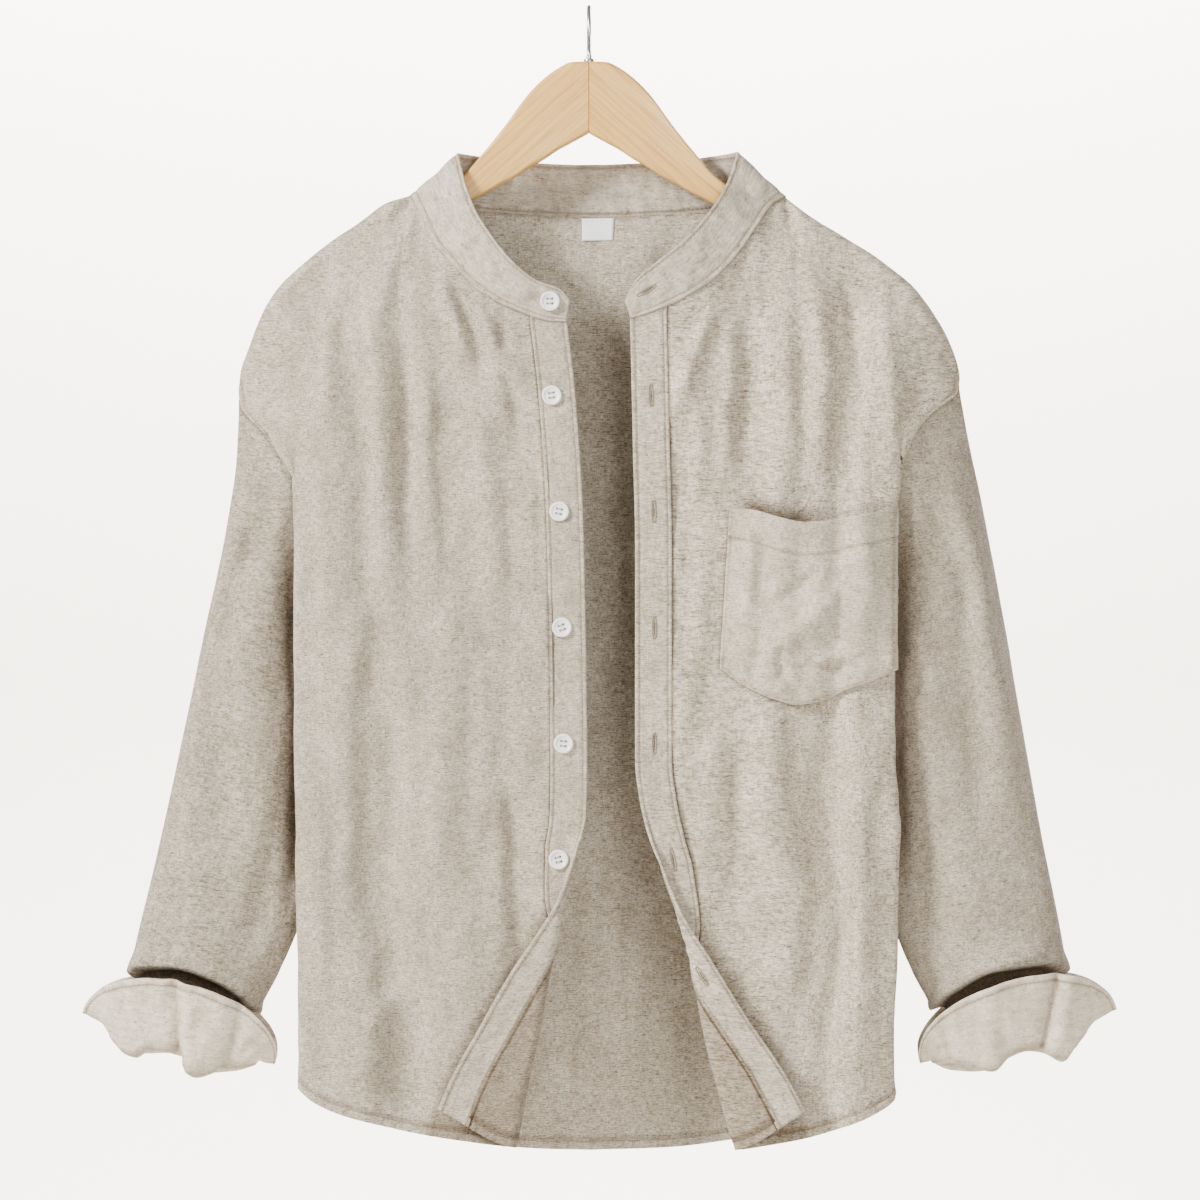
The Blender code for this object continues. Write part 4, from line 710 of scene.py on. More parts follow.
SLEEVE_LEAN = (0.19, 0.98)  # out and down, along a sleeve
SLEEVE_LONG, SLEEVE_HALF = 440.0, 190.0  # mm down a sleeve, and half way round it
SLEEVE_CREASES = {  # round, along at both ends, how far it bows round, half width in mm, height
    "right": [
        (0.10, 0.10, 0.13, 0.75, 0.01, 9, -2.6), (0.20, 0.15, 0.19, 0.62, -0.02, 10, 2.2),
        (0.31, 0.30, 0.28, 0.80, 0.02, 9, 2.4), (0.40, 0.35, 0.38, 0.90, 0.01, 8, -2.0),
        (0.16, 0.78, 0.21, 0.97, 0.01, 8, 2.0), (0.25, 0.02, 0.24, 0.20, 0.01, 8, 1.6),
        (0.86, 0.08, 0.84, 0.70, 0.02, 10, -2.4), (0.76, 0.20, 0.78, 0.85, -0.02, 10, 2.2),
        (0.66, 0.30, 0.68, 0.90, 0.01, 9, 2.0), (0.92, 0.40, 0.90, 0.95, 0.01, 8, 1.6),
    ],
    "left": [
        (0.11, 0.12, 0.12, 0.80, 0.01, 9, 2.4), (0.20, 0.10, 0.22, 0.70, 0.02, 10, -2.4),
        (0.30, 0.25, 0.27, 0.60, -0.01, 9, 1.8), (0.38, 0.40, 0.36, 0.85, 0.01, 9, -2.2),
        (0.10, 0.93, 0.36, 0.955, 0.0, 7, 2.4), (0.26, 0.70, 0.20, 0.90, 0.01, 9, 2.2),
        (0.86, 0.10, 0.85, 0.75, 0.02, 10, -2.2), (0.75, 0.20, 0.77, 0.80, -0.02, 10, 2.4),
        (0.65, 0.35, 0.67, 0.90, 0.01, 9, 1.8), (0.93, 0.30, 0.91, 0.90, 0.01, 8, 1.8),
    ],
}
POCKET_CREASES = [  # the columns of the fronts' creases
    (192, 436, 130, 492, 5, 8, 3.6), (176, 424, 128, 462, 4, 7, -2.2), (121, 396, 118, 474, 2, 4.5, 2.8),
    (131, 402, 127, 456, 2, 4.5, -1.8), (128, 466, 120, 512, 3, 5, -2.6), (144, 486, 150, 516, -2, 4, -2.8),
    (170, 502, 200, 492, 2, 5, 2.6), (154, 504, 206, 504, 2, 4, -2.0), (205, 400, 212, 470, 3, 8, 1.8),
    (150, 508, 168, 524, 1, 4, 2.0),
]

FINE = {  # columns and rows of points
    "front": (150, 270), "strip": (25, 300), "back": (196, 236), "sleeve": (112, 170), "cuff": (150, 46),
    "collar": (340, 26), "pocket": (96, 96), "label": (14, 14),
}
THIN, FOLDED, TAPE = 1.25, 1.9, 0.5  # walls that show
TUCK = 2.5  # how far a piece goes on under the one that is sewn over it
THREAD_RADIUS, STITCH, PITCH = 0.27, 2.5, 3.4
ROOT = "root"


def lattice(i, j, seed):
    """A value from 0 to 1 for each whole place, the same each run."""
    value = np.sin(i * 127.1 + j * 311.7 + seed * 74.7) * 43758.5453
    return value - np.floor(value)


def noise(x, y, seed):
    """Smooth noise from -1 to 1 with one bump a unit."""
    i, j = np.floor(x), np.floor(y)
    a, b = smooth(x - i), smooth(y - j)
    low = lattice(i, j, seed) * (1 - a) + lattice(i + 1, j, seed) * a
    high = lattice(i, j + 1, seed) * (1 - a) + lattice(i + 1, j + 1, seed) * a
    return 2 * (low * (1 - b) + high * b) - 1


def round_ripples(s, rise, rows):
    """Noise round a tube: rows of height, size round, start, rise for all of its length, and seed."""
    across, down = np.cos(2 * math.pi * s), np.sin(2 * math.pi * s)
    return sum(height * noise(across * size + start, down * size + rise * steep, seed)
               for height, size, start, steep, seed in rows)


def crease_height(rows, x, h):
    total = np.zeros_like(x)
    for x0, h0, x1, h1, bow, half_width, height in rows:
        length = math.hypot(x1 - x0, h1 - h0)
        run, fall = (x1 - x0) / length, (h1 - h0) / length
        t = ((x - x0) * run + (h - h0) * fall) / length
        inside = np.clip(t, 0, 1)
        off = (x - x0) * fall - (h - h0) * run - bow * 4 * inside * (1 - inside)
        off = off + 0.25 * half_width * noise(t * length / CREASE_WANDER, 0 * t, x0 + h0)
        width = half_width * (0.75 + 0.5 * inside) * np.where(off > 0, 1.2, 0.85)
        ends = smooth((t + 0.06) / 0.3) * smooth((1.06 - t) / 0.4)
        total += CREASE_SCALE * height * ends * near(off, width)
    return total


def soft_drape(x, h, seed):
    """Uneven, mostly upright waves, with small crinkles in patches."""
    broad = 3.2 * noise(x / 34, h / 130, seed) + 1.5 * noise(x / 17, h / 52, seed + 3)
    crinkled = 0.3 + 0.7 * smooth((noise(x / 60, h / 80, seed + 8) + 0.5) / 0.9)
    small = 0.6 * noise((x + 0.35 * h) / 10, h / 24, seed + 5)
    small += 0.3 * noise(x / 7, (h - 0.5 * x) / 9, seed + 6)
    return broad + crinkled * small


# Meshes

def write_mesh(name, points, faces, material=None):
    mesh = bpy.data.meshes.new(name)
    mesh.from_pydata((np.asarray(points, float) * MM).tolist(), [], faces)
    mesh.validate()
    mesh.shade_smooth()
    if material:
        mesh.materials.append(material)
    item = bpy.data.objects.new(name, mesh)
    bpy.context.scene.collection.objects.link(item)
    return item


def belongs(item, node, stands_in=True):
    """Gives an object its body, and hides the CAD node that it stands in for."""
    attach(item, ROOT)
    if stands_in:
        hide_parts(node)
    return item


def quads(columns, rows, closed=False):
    return [
        (i * rows + j, i * rows + j + 1, (i + 1) % columns * rows + j + 1, (i + 1) % columns * rows + j)
        for i in range(columns if closed else columns - 1)
        for j in range(rows - 1)
    ]


def ahead(_):
    return np.array([0.0, -1.0, 0.0])


made = {}  # the cloth pieces by name


def cloth_piece(name, grid, heights, weave, shade, wall=THIN, forward=ahead, closed=False):
    """A fine wall: heights move the grid outward, weave gives each point's place in the cloth, across
    and down, and shade is painted shade: how much darker its colour is drawn where the cloth beside it keeps
    the light off."""
    normals = normals_of(grid, closed)
    columns, rows = grid.shape[:2]
    tested = columns // 3, rows // 2
    turned = np.dot(normals[tested], forward(grid[tested])) < 0
    points = grid + (-normals if turned else normals) * np.broadcast_to(heights, (columns, rows))[..., None]
    faces = [face[::-1] if turned else face for face in quads(columns, rows, closed)]
    item = write_mesh(name + "_cloth", points.reshape(-1, 3), faces, outside[name])
    flat = np.zeros((columns * rows, 3))
    flat[:, :2] = np.stack(weave, axis=-1).reshape(-1, 2) * MM
    # the painted shade rides in the cloth attribute's third value
    flat[:, 2] = np.ravel(np.clip(shade, 0, 1))
    item.data.attributes.new("cloth", "FLOAT_VECTOR", "POINT").data.foreach_set("vector", flat.ravel())
    solid = item.modifiers.new("Wall", "SOLIDIFY")
    solid.thickness, solid.offset = wall * MM, 0
    belongs(item, name)
    tree = BVHTree.FromPolygons(points.reshape(-1, 3).tolist(), faces)
    made[name] = {"item": item, "tree": tree, "wall": wall, "points": points, "closed": closed}


def surface_point(piece, point):
    """The nearest place on a piece, and its outward direction there."""
    where, normal, _, _ = piece["tree"].find_nearest(Vector(point))
    return np.array(where), np.array(normal)


def turns(count):
    return [2 * math.pi * i / count for i in range(count)]


def skin(rings, sides):
    """Faces round so many rings of points, with both ends closed."""
    faces = []
    for k in range(rings - 1):
        for i in range(sides):
            a, b = k * sides + i, k * sides + (i + 1) % sides
            faces.append((a, b, b + sides, a + sides))
    return faces + [tuple(range(sides))[::-1], tuple((rings - 1) * sides + i for i in range(sides))]


def turned_solid(profile, sides, move=(0, 0, 0)):
    """A turned piece with its axis along Z from (radius, height) pairs."""
    points = [(radius * math.cos(turn) + move[0], radius * math.sin(turn) + move[1], height + move[2])
              for radius, height in profile for turn in turns(sides)]
    return points, skin(len(profile), sides)


def tube(line, radius, sides):
    """Points and faces of a closed tube along a line."""
    line = np.asarray(line, float)
    forward = normalised(np.gradient(line, axis=0))
    up = np.array([0.0, 0.0, 1.0]) if abs(forward[0][2]) < 0.9 else np.array([1.0, 0.0, 0.0])
    points = []
    for centre, heading, size in zip(line, forward, np.broadcast_to(radius, len(line))):
        sideways = normalised(np.cross(heading, up))
        up = np.cross(sideways, heading)
        points += [centre + (sideways * math.cos(turn) + up * math.sin(turn)) * size for turn in turns(sides)]
    return points, skin(len(line), sides)


def merge(parts):
    points, faces = [], []
    for more_points, more_faces in parts:
        base = len(points)
        points += list(more_points)
        faces += [tuple(k + base for k in face) for face in more_faces]
    return points, faces


# Materials

LINEN_LIGHT, LINEN_DARK = (0.80, 0.71, 0.585), (0.17, 0.13, 0.085)
# The tones are painted light and shade: the sleeves darker as they hang back in less light, the left front
# and placket lighter than the right ones, and the cuffs lighter, partly as painted light and partly as the
# cloth's inner face; the collar's and plackets' lower tones also make up for their fainter flecks.
LINENS = {  # how light a piece is drawn, and how strong its flecks are
    "front_right": (0.87, 1.0),
    "front_left": (1.05, 1.0),
    "back": (1.0, 1.0),
    "sleeve_right": (0.75, 1.0),
    "sleeve_left": (0.80, 1.0),
    "cuff_right": (1.18, 0.45),
    "cuff_left": (1.16, 0.45),
    "collar_band": (0.84, 0.6),
    "button_placket": (0.86, 0.85),
    "buttonhole_placket": (0.95, 0.85),
    "chest_pocket": (1.0, 0.8),
}
YARNS = {  # streaks a metre across and down, detail, and where in the noise
    "weft": (360, 1300, 2.0, 0),
    "slub": (125, 900, 2.0, 3),
    "warp": (1150, 170, 2.0, 7),
    # painted shade: faint upright bands for the light and shade of soft pleats, not a yarn streak
    "pleat_shade": (85, 7, 2.0, 23),
    "mottle": (150, 230, 2.0, 29),
    "patches": (42, 34, 2.0, 11),
    "specks": (420, 900, 0.0, 17),
}


def grey(value):
    return (value, value, value)


def mixed(a, b, share):
    return tuple(x * (1 - share) + y * share for x, y in zip(a, b))


def faded(colour, share):
    return mixed(grey(1.0), colour, share)


class Finish:
    """A material, with short ways to add its nodes."""

    def __init__(self, name):
        self.material = bpy.data.materials.new(name)
        self.material.use_nodes = True
        self.nodes, self.links = self.material.node_tree.nodes, self.material.node_tree.links

    def fill(self, node, inputs):
        for key, value in inputs.items():
            if hasattr(value, "is_output"):
                self.links.new(value, node.inputs[key])
            else:
                node.inputs[key].default_value = value
        return node

    def add(self, kind, inputs, **settings):
        node = self.nodes.new("ShaderNode" + kind)
        for key, value in settings.items():
            setattr(node, key, value)
        return self.fill(node, inputs)

    def noise(self, source, scale, detail=2.0, offset=0.0, roughness=0.55):
        """Noise in streaks: so many a metre each way."""
        place = self.add("Mapping", {"Vector": source, "Scale": scale,
                                     "Location": (offset, offset * 0.7, offset * 0.3)})
        return self.add("TexNoise", {"Vector": place.outputs["Vector"], "Scale": 1.0, "Detail": detail,
                                     "Roughness": roughness}).outputs["Fac"]

    def ramp(self, value, stops):
        node = self.add("ValToRGB", {"Fac": value})
        elements = node.color_ramp.elements
        elements[0].position, elements[0].color = stops[0][0], (*stops[0][1], 1)
        elements[1].position, elements[1].color = stops[-1][0], (*stops[-1][1], 1)
        for position, colour in stops[1:-1]:
            elements.new(position).color = (*colour, 1)
        return node.outputs["Color"]

    def multiplied(self, base, value, stops):
        """A colour multiplied by a ramp over a value."""
        node = self.add("Mix", {}, data_type="RGBA", blend_type="MULTIPLY")
        node.inputs["Factor"].default_value = 1.0
        self.links.new(base, node.inputs["A"])
        self.links.new(self.ramp(value, stops), node.inputs["B"])
        return node.outputs["Result"]

    def bump(self, strength, distance, height, over=None):
        inputs = {"Strength": strength, "Distance": distance, "Height": height}
        if over is not None:
            inputs["Normal"] = over
        return self.add("Bump", inputs).outputs["Normal"]

    def done(self, colour, normal, **values):
        """Joins the shader: the keywords are its sockets, with _ for a space."""
        inputs = {key.replace("_", " "): value for key, value in values.items()}
        self.fill(self.nodes["Principled BSDF"], {"Base Color": colour, "Normal": normal, **inputs})
        return self.material


def linen(name, offset, tone, flecks):
    """Plain weave of uneven linen yarn: level flecks, fainter upright ones, and odd dark specks, under
    painted shade: faint upright bands for soft pleats, and the shade that the cloth attribute carries.
    """
    cloth = Finish(name)
    place = cloth.add("Attribute", {}, attribute_name="cloth").outputs["Vector"]
    shade = cloth.add("SeparateXYZ", {"Vector": place}).outputs["Z"]
    yarn = {key: cloth.noise(place, (across, down, 0.0), detail, offset + step)
            for key, (across, down, detail, step) in YARNS.items()}
    light = tuple(tone * c for c in LINEN_LIGHT)
    base = cloth.ramp(yarn["weft"], [(0.26, mixed(light, LINEN_DARK, 0.95 * flecks)),
                                     (0.43, mixed(light, LINEN_DARK, 0.42 * flecks)), (0.63, light)])
    for value, stops in (
        (yarn["slub"], [(0.24, faded((0.50, 0.45, 0.385), flecks)), (0.37, faded((0.77, 0.74, 0.70), flecks)),
                        (0.52, grey(1.0))]),
        (yarn["warp"], [(0.30, grey(1 - 0.30 * flecks)), (0.62, grey(1.0))]),
        (yarn["pleat_shade"], [(0.34, grey(0.90)), (0.64, grey(1.0))]),
        (yarn["mottle"], [(0.30, (0.77, 0.755, 0.73)), (0.68, grey(1.0))]),
        (yarn["patches"], [(0.32, (0.83, 0.815, 0.79)), (0.68, grey(1.0))]),
        (yarn["specks"], [(0.19, (0.50, 0.45, 0.38)), (0.235, grey(1.0))]),
        # painted shade: the cloth attribute's third value darkens the colour along seams and stitching, in
        # creases, the cuffs' slots and the pocket's mouth, and beside the sleeves' sides
        (shade, [(0.0, grey(1.0)), (0.5, (0.50, 0.455, 0.40)), (1.0, (0.13, 0.095, 0.065))]),
    ):
        base = cloth.multiplied(base, value, stops)
    both = cloth.add("Math", {0: yarn["weft"], 1: yarn["warp"]}, operation="ADD").outputs[0]
    height = cloth.add("Math", {0: both, 1: yarn["slub"]}, operation="ADD").outputs[0]
    crinkle = cloth.bump(0.5, 0.0012, yarn["mottle"], cloth.bump(0.45, 0.0005, height))
    return cloth.done(base, crinkle, Roughness=0.92, Specular_IOR_Level=0.15, Sheen_Weight=0.12,
                      Sheen_Roughness=0.5)


def plain(name, colour, roughness, metallic, specular, variation, scale):
    """A near-plain finish with a slight uneven tone and relief."""
    coat = Finish(name)
    place = coat.add("TexCoord", {}).outputs["Object"]
    spread = coat.noise(place, (scale, scale, 1.0), 3.0)
    low = tuple(c * (1 - variation) for c in colour)
    return coat.done(coat.ramp(spread, [(0.3, low), (0.7, colour)]), coat.bump(0.08, 0.0002, spread),
                     Roughness=roughness, Metallic=metallic, Specular_IOR_Level=specular)


def wood(name, sign):
    """Pale varnished wood, its grain along the arm."""
    arm = Finish(name)
    place = arm.add("TexCoord", {}).outputs["Object"]
    turned = arm.add("Mapping", {"Vector": place, "Rotation": (0.0, sign * ARM_SLOPE, 0.0)}).outputs["Vector"]
    bend = arm.noise(turned, (9, 60, 1.0), 2.0, 2.0 + sign)
    bent = arm.add("Math", {0: bend, 1: 0.006}, operation="MULTIPLY").outputs[0]
    moved = arm.add("CombineXYZ", {"Z": bent}).outputs[0]
    source = arm.add("VectorMath", {0: turned, 1: moved}, operation="ADD").outputs[0]
    grain = arm.noise(source, (14.0, 160.0, 420.0), 4.0, roughness=0.6)
    pores = arm.noise(source, (60.0, 900.0, 1600.0), 1.0, roughness=0.5)
    base = arm.ramp(grain, [(0.28, (0.46, 0.225, 0.045)), (0.5, (0.63, 0.35, 0.085)),
                            (0.70, (0.73, 0.44, 0.13))])
    base = arm.multiplied(base, pores, [(0.28, grey(0.90)), (0.42, grey(1.0))])
    return arm.done(base, arm.bump(0.12, 0.0003, grain), Roughness=0.38, Coat_Weight=0.25,
                    Coat_Roughness=0.25)


ARM_SLOPE = math.radians(-42)
outside = {name: linen("linen_" + name, k * 5.0, *look) for k, (name, look) in enumerate(LINENS.items())}
# colour, roughness, metallic, specular, variation, and how fine it is
# painted shade: the thread is drawn dark to stand for the shade along the puckered rows of stitches
thread = plain("thread", (0.25, 0.20, 0.14), 0.8, 0.0, 0.2, 0.12, 900.0)
button_thread = plain("button_thread", (0.42, 0.37, 0.30), 0.8, 0.0, 0.2, 0.12, 900.0)
# painted shade: a near-black tube fills each buttonhole's cut, where there is only shade
painted_slit_shade = plain("buttonhole_slit_shade", (0.13, 0.10, 0.075), 0.95, 0.0, 0.1, 0.2, 900.0)
white_button = plain("button_white", (0.83, 0.83, 0.81), 0.28, 0.0, 0.5, 0.05, 120.0)
outside["neck_label"] = plain("label_tape", (0.86, 0.87, 0.88), 0.7, 0.0, 0.3, 0.06, 1600.0)
steel = plain("hook_steel", (0.56, 0.56, 0.55), 0.32, 1.0, 0.5, 0.12, 500.0)


# The panels

STRIPS = {"right": "button_placket", "left": "buttonhole_placket"}
STRIP_STITCHES = (3.2, 25.0)  # rows of stitches in from a front edge
STITCHED = (2.5, 8.5)  # rows of stitches in from the armhole
DIP = 0.9  # how wide the cloth dips along a row of stitches
HEM = 6.5  # from the edge up to its stitches
PER_STATION = 230.0  # mm of a panel for all of u, near its outer edge
FRONT_PER_STATION = 330.0  # the same for a front past its turning
BACK_PER_STATION, BACK_WEAVE = 290.0, 300.0  # the same for the back's hem and for its weave
SEEDS = {  # of each side's noise
    "right": {"drape": 11, "hem": 5, "strip": 51, "sleeve": 31, "cuff": 71},
    "left": {"drape": 29, "hem": 6, "strip": 63, "sleeve": 37, "cuff": 83},
}
POCKET_WIDE, POCKET_HIGH = 122, 128  # of the cloth, over its swell


def cloth_across(u):
    """Millimetres across a front at a station."""
    return np.where(u < U_TURNING, u / U_TURNING * TURNING, TURNING + (u - U_TURNING) * FRONT_PER_STATION)


def roped(across, along_edge, seed):
    """A rolled hem: thick, with slanting ropes; `across` is how far in from the edge."""
    inside = smooth((HEM + 0.6 - across) / 1.2)
    slant = along_edge / 8.5 + across / 16 + 0.35 * noise(along_edge / 23, 0 * across, seed)
    ropes = np.sin(2 * math.pi * slant) * np.sin(math.pi * np.clip(across / HEM, 0, 1))
    pucker = near(across - HEM, 7) * noise(along_edge / 9, across / 30, seed + 2)
    return inside * (0.45 + 0.30 * ropes) + 0.4 * pucker - 0.45 * near(across - HEM, DIP)


def edge_shade(below, drop, u, last):
    """The shade along a panel's hem, and under the collar up to the station `last`."""
    under_collar = 0.40 * near(drop, 2.6) * smooth((last + 0.01 - u) / 0.02)
    return 0.35 * near(below - HEM, DIP) + 0.30 * near(below - HEM - 2.2, 1.5) + under_collar


def sewn_down(drop):
    """Creases and waves die out toward the seam along a panel's top."""
    return 0.15 + 0.85 * smooth(drop / 22)


def at_armhole(side, u, h):
    """How thick and how shaded the doubled seam along the armhole is."""
    beside = smooth((ARMHOLE_H[side][1] + 6 - h) / 12)
    inboard = (1 - np.abs(u)) * PER_STATION
    rows = sum(near(inboard - row, DIP) for row in STITCHED)
    thick = beside * (0.5 * smooth((10 - inboard) / 1.5) - 0.45 * rows)
    return thick, beside * (0.5 * near(inboard, 1.8) + 0.25 * rows + 0.22 * near(inboard - 10.5, 1.4))


def pocket_mouth(x, h):
    """1 on the front where the pocket stands open."""
    top = table(POCKET_TOP, 1, (x - POCKET_INNER[0][1]) / 120)
    wide = smooth((x - 112) / 16) * smooth((184 - x) / 22)
    return wide * near(np.maximum(top + 1 - h, 0), 7.5) * smooth((top + 40 - h) / 25)


def under_pocket(x, h):
    """1 on the front where the pocket is sewn over it."""
    return smooth((x - 90) / 14) * smooth((h - 368) / 12) * smooth((540 - h) / 14)


def beside_pocket(x, h):
    """1 on the front along the pocket's sewn edges."""
    inner = table(POCKET_INNER, 1, (h - POCKET_H) / POCKET_DEEP)
    low = table(POCKET_BOTTOM, 1, (x - inner) / 125)
    beside = near(inner - x, 2.0) * smooth((h - 380) / 4) * smooth((low + 2 - h) / 3)
    return beside + near(h - low, 2.0) * smooth((x - inner + 1) / 3)


def panel_heights(side, u, v, grid):
    """How far a front's cloth stands out, and its shade."""
    x, h = grid[..., 0], -grid[..., 2]
    top = top_h(side, u)
    cloth = cloth_across(u)
    turned = table(FRONT_EDGE[side], 2, h)
    on_front = smooth((cloth - turned - 12) / 18)
    drape = soft_drape(x, h, SEEDS[side]["drape"])
    if side == "left":
        drape *= 1 - 0.75 * under_pocket(x, h)
    value = on_front * (crease_height(FRONT_CREASES[side], x, h) + drape)
    value += (1 - on_front) * 0.5 * noise(cloth / 16, h / 40, 41)
    below = (1 - v) * (table(FRONT_HEM[side], 1, u) - top)
    value += roped(below, cloth, SEEDS[side]["hem"])
    value += near(np.maximum(cloth - STRIP, 0), 8) * 0.6 * noise(h / 8, cloth / 22, 17)
    value -= 0.6 * smooth((STRIP + 1.5 - cloth) / 2)
    value *= sewn_down(h - top) * smooth((1.2 - u) / 0.2 + 0.2)
    thick, shade = at_armhole(side, u, h)
    shade = shade + edge_shade(below, h - top, u, U_NECK)
    shade += (0.62 if side == "left" else 0.34) * near(cloth - STRIP - 0.4, 1.1)
    shade += 0.38 * near(np.maximum(cloth - 2 * turned, 0), 7) * smooth((turned - 2) / 14)
    if side == "left":
        value -= 3.0 * pocket_mouth(x, h)
        shade += 0.85 * pocket_mouth(x, h) + 0.34 * beside_pocket(x, h)
    side_seam = 0.35 * smooth((u - U_BEHIND) / (1 - U_BEHIND) / 0.3)
    return value + thick + side_seam + 0.3 * smooth((u - 0.8) / 0.1) * noise(v * 80, u * 9, 3), shade


def finer_near(places, count, reach, gain):
    """Shares from 0 to 1, closer together near some places."""
    even = np.linspace(0, 1, 4000)
    length = np.cumsum(1 + gain * sum(near(even - place, reach) for place in places))
    length = (length - length[0]) / (length[-1] - length[0])
    return np.interp(np.linspace(0, 1, count), length, even)


def front_columns(count):
    """Stations across a front: closest by the strip's seam and by the armhole."""
    beside = np.linspace(STRIP - TUCK, STRIP + 3, 10)
    cloth = np.concatenate([beside, np.linspace(STRIP + 3, TURNING, 43)[1:]])
    rest = finer_near((1,), count - len(cloth) + 1, 0.035, 2.6)[1:]
    return np.concatenate([PER_MM * cloth, U_TURNING + (1 - U_TURNING) * rest])


def add_front(side):
    rows = finer_near((0, 1), FINE["front"][1], 0.012, 2.8)
    u, v = crossed(front_columns(FINE["front"][0]), rows)
    u = toward_fold(side, u, v)
    grid = front(side)(u, v)
    heights, shade = panel_heights(side, u, v, grid)
    cloth_piece("front_" + side, grid, heights, (cloth_across(u), -grid[..., 2]), shade)


def add_strip(side):
    """The doubled strip along a front's edge, with its seams' puckers."""
    columns, rows = FINE["strip"]
    across = PER_MM * STRIP * finer_near([row / STRIP for row in STRIP_STITCHES], columns, 0.04, 2.5)
    u, v = crossed(across, np.linspace(0, 1, rows))
    u = toward_fold(side, u, v)
    grid = front(side)(u, v)
    across, h, seed = cloth_across(u), -grid[..., 2], SEEDS[side]["strip"]
    between = np.sin(math.pi * np.clip((across - 2.5) / (STRIP - 5), 0, 1))
    calm = 0.45 + 0.55 * smooth((noise(h / 60, 0 * h, seed + 9) + 0.6) / 0.8)
    small = 0.75 * noise(h / 6.5 + across / 30, across / 17, seed)
    small += 0.4 * noise(h / 3.6, across / 9, seed + 1)
    edge_wave = np.exp(-across / 5) + np.exp(-(STRIP - across) / 5)
    stitched = sum(near(across - row, DIP) for row in STRIP_STITCHES)
    heights = between * calm * small + 0.25 * edge_wave * noise(h / 7, across / 40, seed + 2)
    heights += 0.45 - 0.6 * stitched
    shade = 0.30 * stitched + 0.25 * near(h - h[:, :1], 2.2)
    cloth_piece(STRIPS[side], grid, heights, (across, h), shade, FOLDED)


def back_hem(u):
    """How far down the back's hem is, on either side."""
    return np.where(u < 0, table(BACK_HEM["right"], 1, np.abs(u)), table(BACK_HEM["left"], 1, np.abs(u)))


def add_back():
    columns, rows = FINE["back"]
    u, v = crossed(2 * finer_near((0, 1), columns, 0.015, 2.0) - 1, finer_near((0, 1), rows, 0.012, 2.5))
    grid = back(u, v)
    x, h, out = grid[..., 0], -grid[..., 2], np.abs(u)
    drop, below = h - h[:, :1], back_hem(u) - h
    heights = sewn_down(drop) * (crease_height(BACK_CREASES, x, h) + soft_drape(x, h, 77))
    heights += roped(below, u * BACK_PER_STATION, 8)
    heights *= smooth((1.15 - out) / 0.25 + 0.2)
    heights += 0.35 * smooth((out - U_BEHIND) / (1 - U_BEHIND) / 0.3)
    shade = edge_shade(below, drop, out, U_BACK_NECK)
    for side, on_side in (("right", u < 0), ("left", u >= 0)):
        thick, beside = at_armhole(side, u, h)
        heights += on_side * thick
        shade += on_side * beside
    cloth_piece("back", grid, heights, (u * BACK_WEAVE, h), shade, forward=lambda _: -ahead(_))


# The sleeves and the cuffs

SLOT_TOP = {  # o, h: from this line down a sleeve goes in behind the cuff's rim
    "right": [(250, 772), (257, 762), (264.5, 754), (287, 740), (318, 730), (343, 731), (352, 738),
              (358, 752)],
    "left": [(258, 772), (264, 762), (271, 754), (280, 748), (306, 733), (326, 730), (346, 728), (365, 735),
             (371, 750)],
}
SLOT_DEEP = 9.0
SLEEVE_MIDDLE = (275.0, 0.0, 560.0)  # o, y, h
FELLED, FELL_WIDE = 0.455, 8.0  # how far round the sleeve's own seam lies, and how wide it is
FELL_STITCHES = (FELLED + 0.034, FELLED - 0.002)  # round
CUFF_STITCHED = 0.915  # the row of stitches below a cuff's rim, as a share of its height
CUFF_FOLD_RING = 3  # of the cuff's profile, where it turns up
CUFF_BEHIND = 97.0  # mm in the cloth from a cuff's front to its back
CUFF_PLEATS = {  # round, half width, height
    "right": [(0.245, 0.012, -2.0), (0.27, 0.015, 1.4), (0.12, 0.02, 1.0), (0.36, 0.02, -1.0),
              (0.62, 0.02, 1.2), (0.74, 0.015, -1.8), (0.88, 0.02, 1.0)],
    "left": [(0.19, 0.012, -2.0), (0.165, 0.015, 1.3), (0.30, 0.02, 1.0), (0.40, 0.02, -1.0),
             (0.60, 0.02, 1.2), (0.72, 0.015, -1.6), (0.86, 0.02, 1.0)],
}


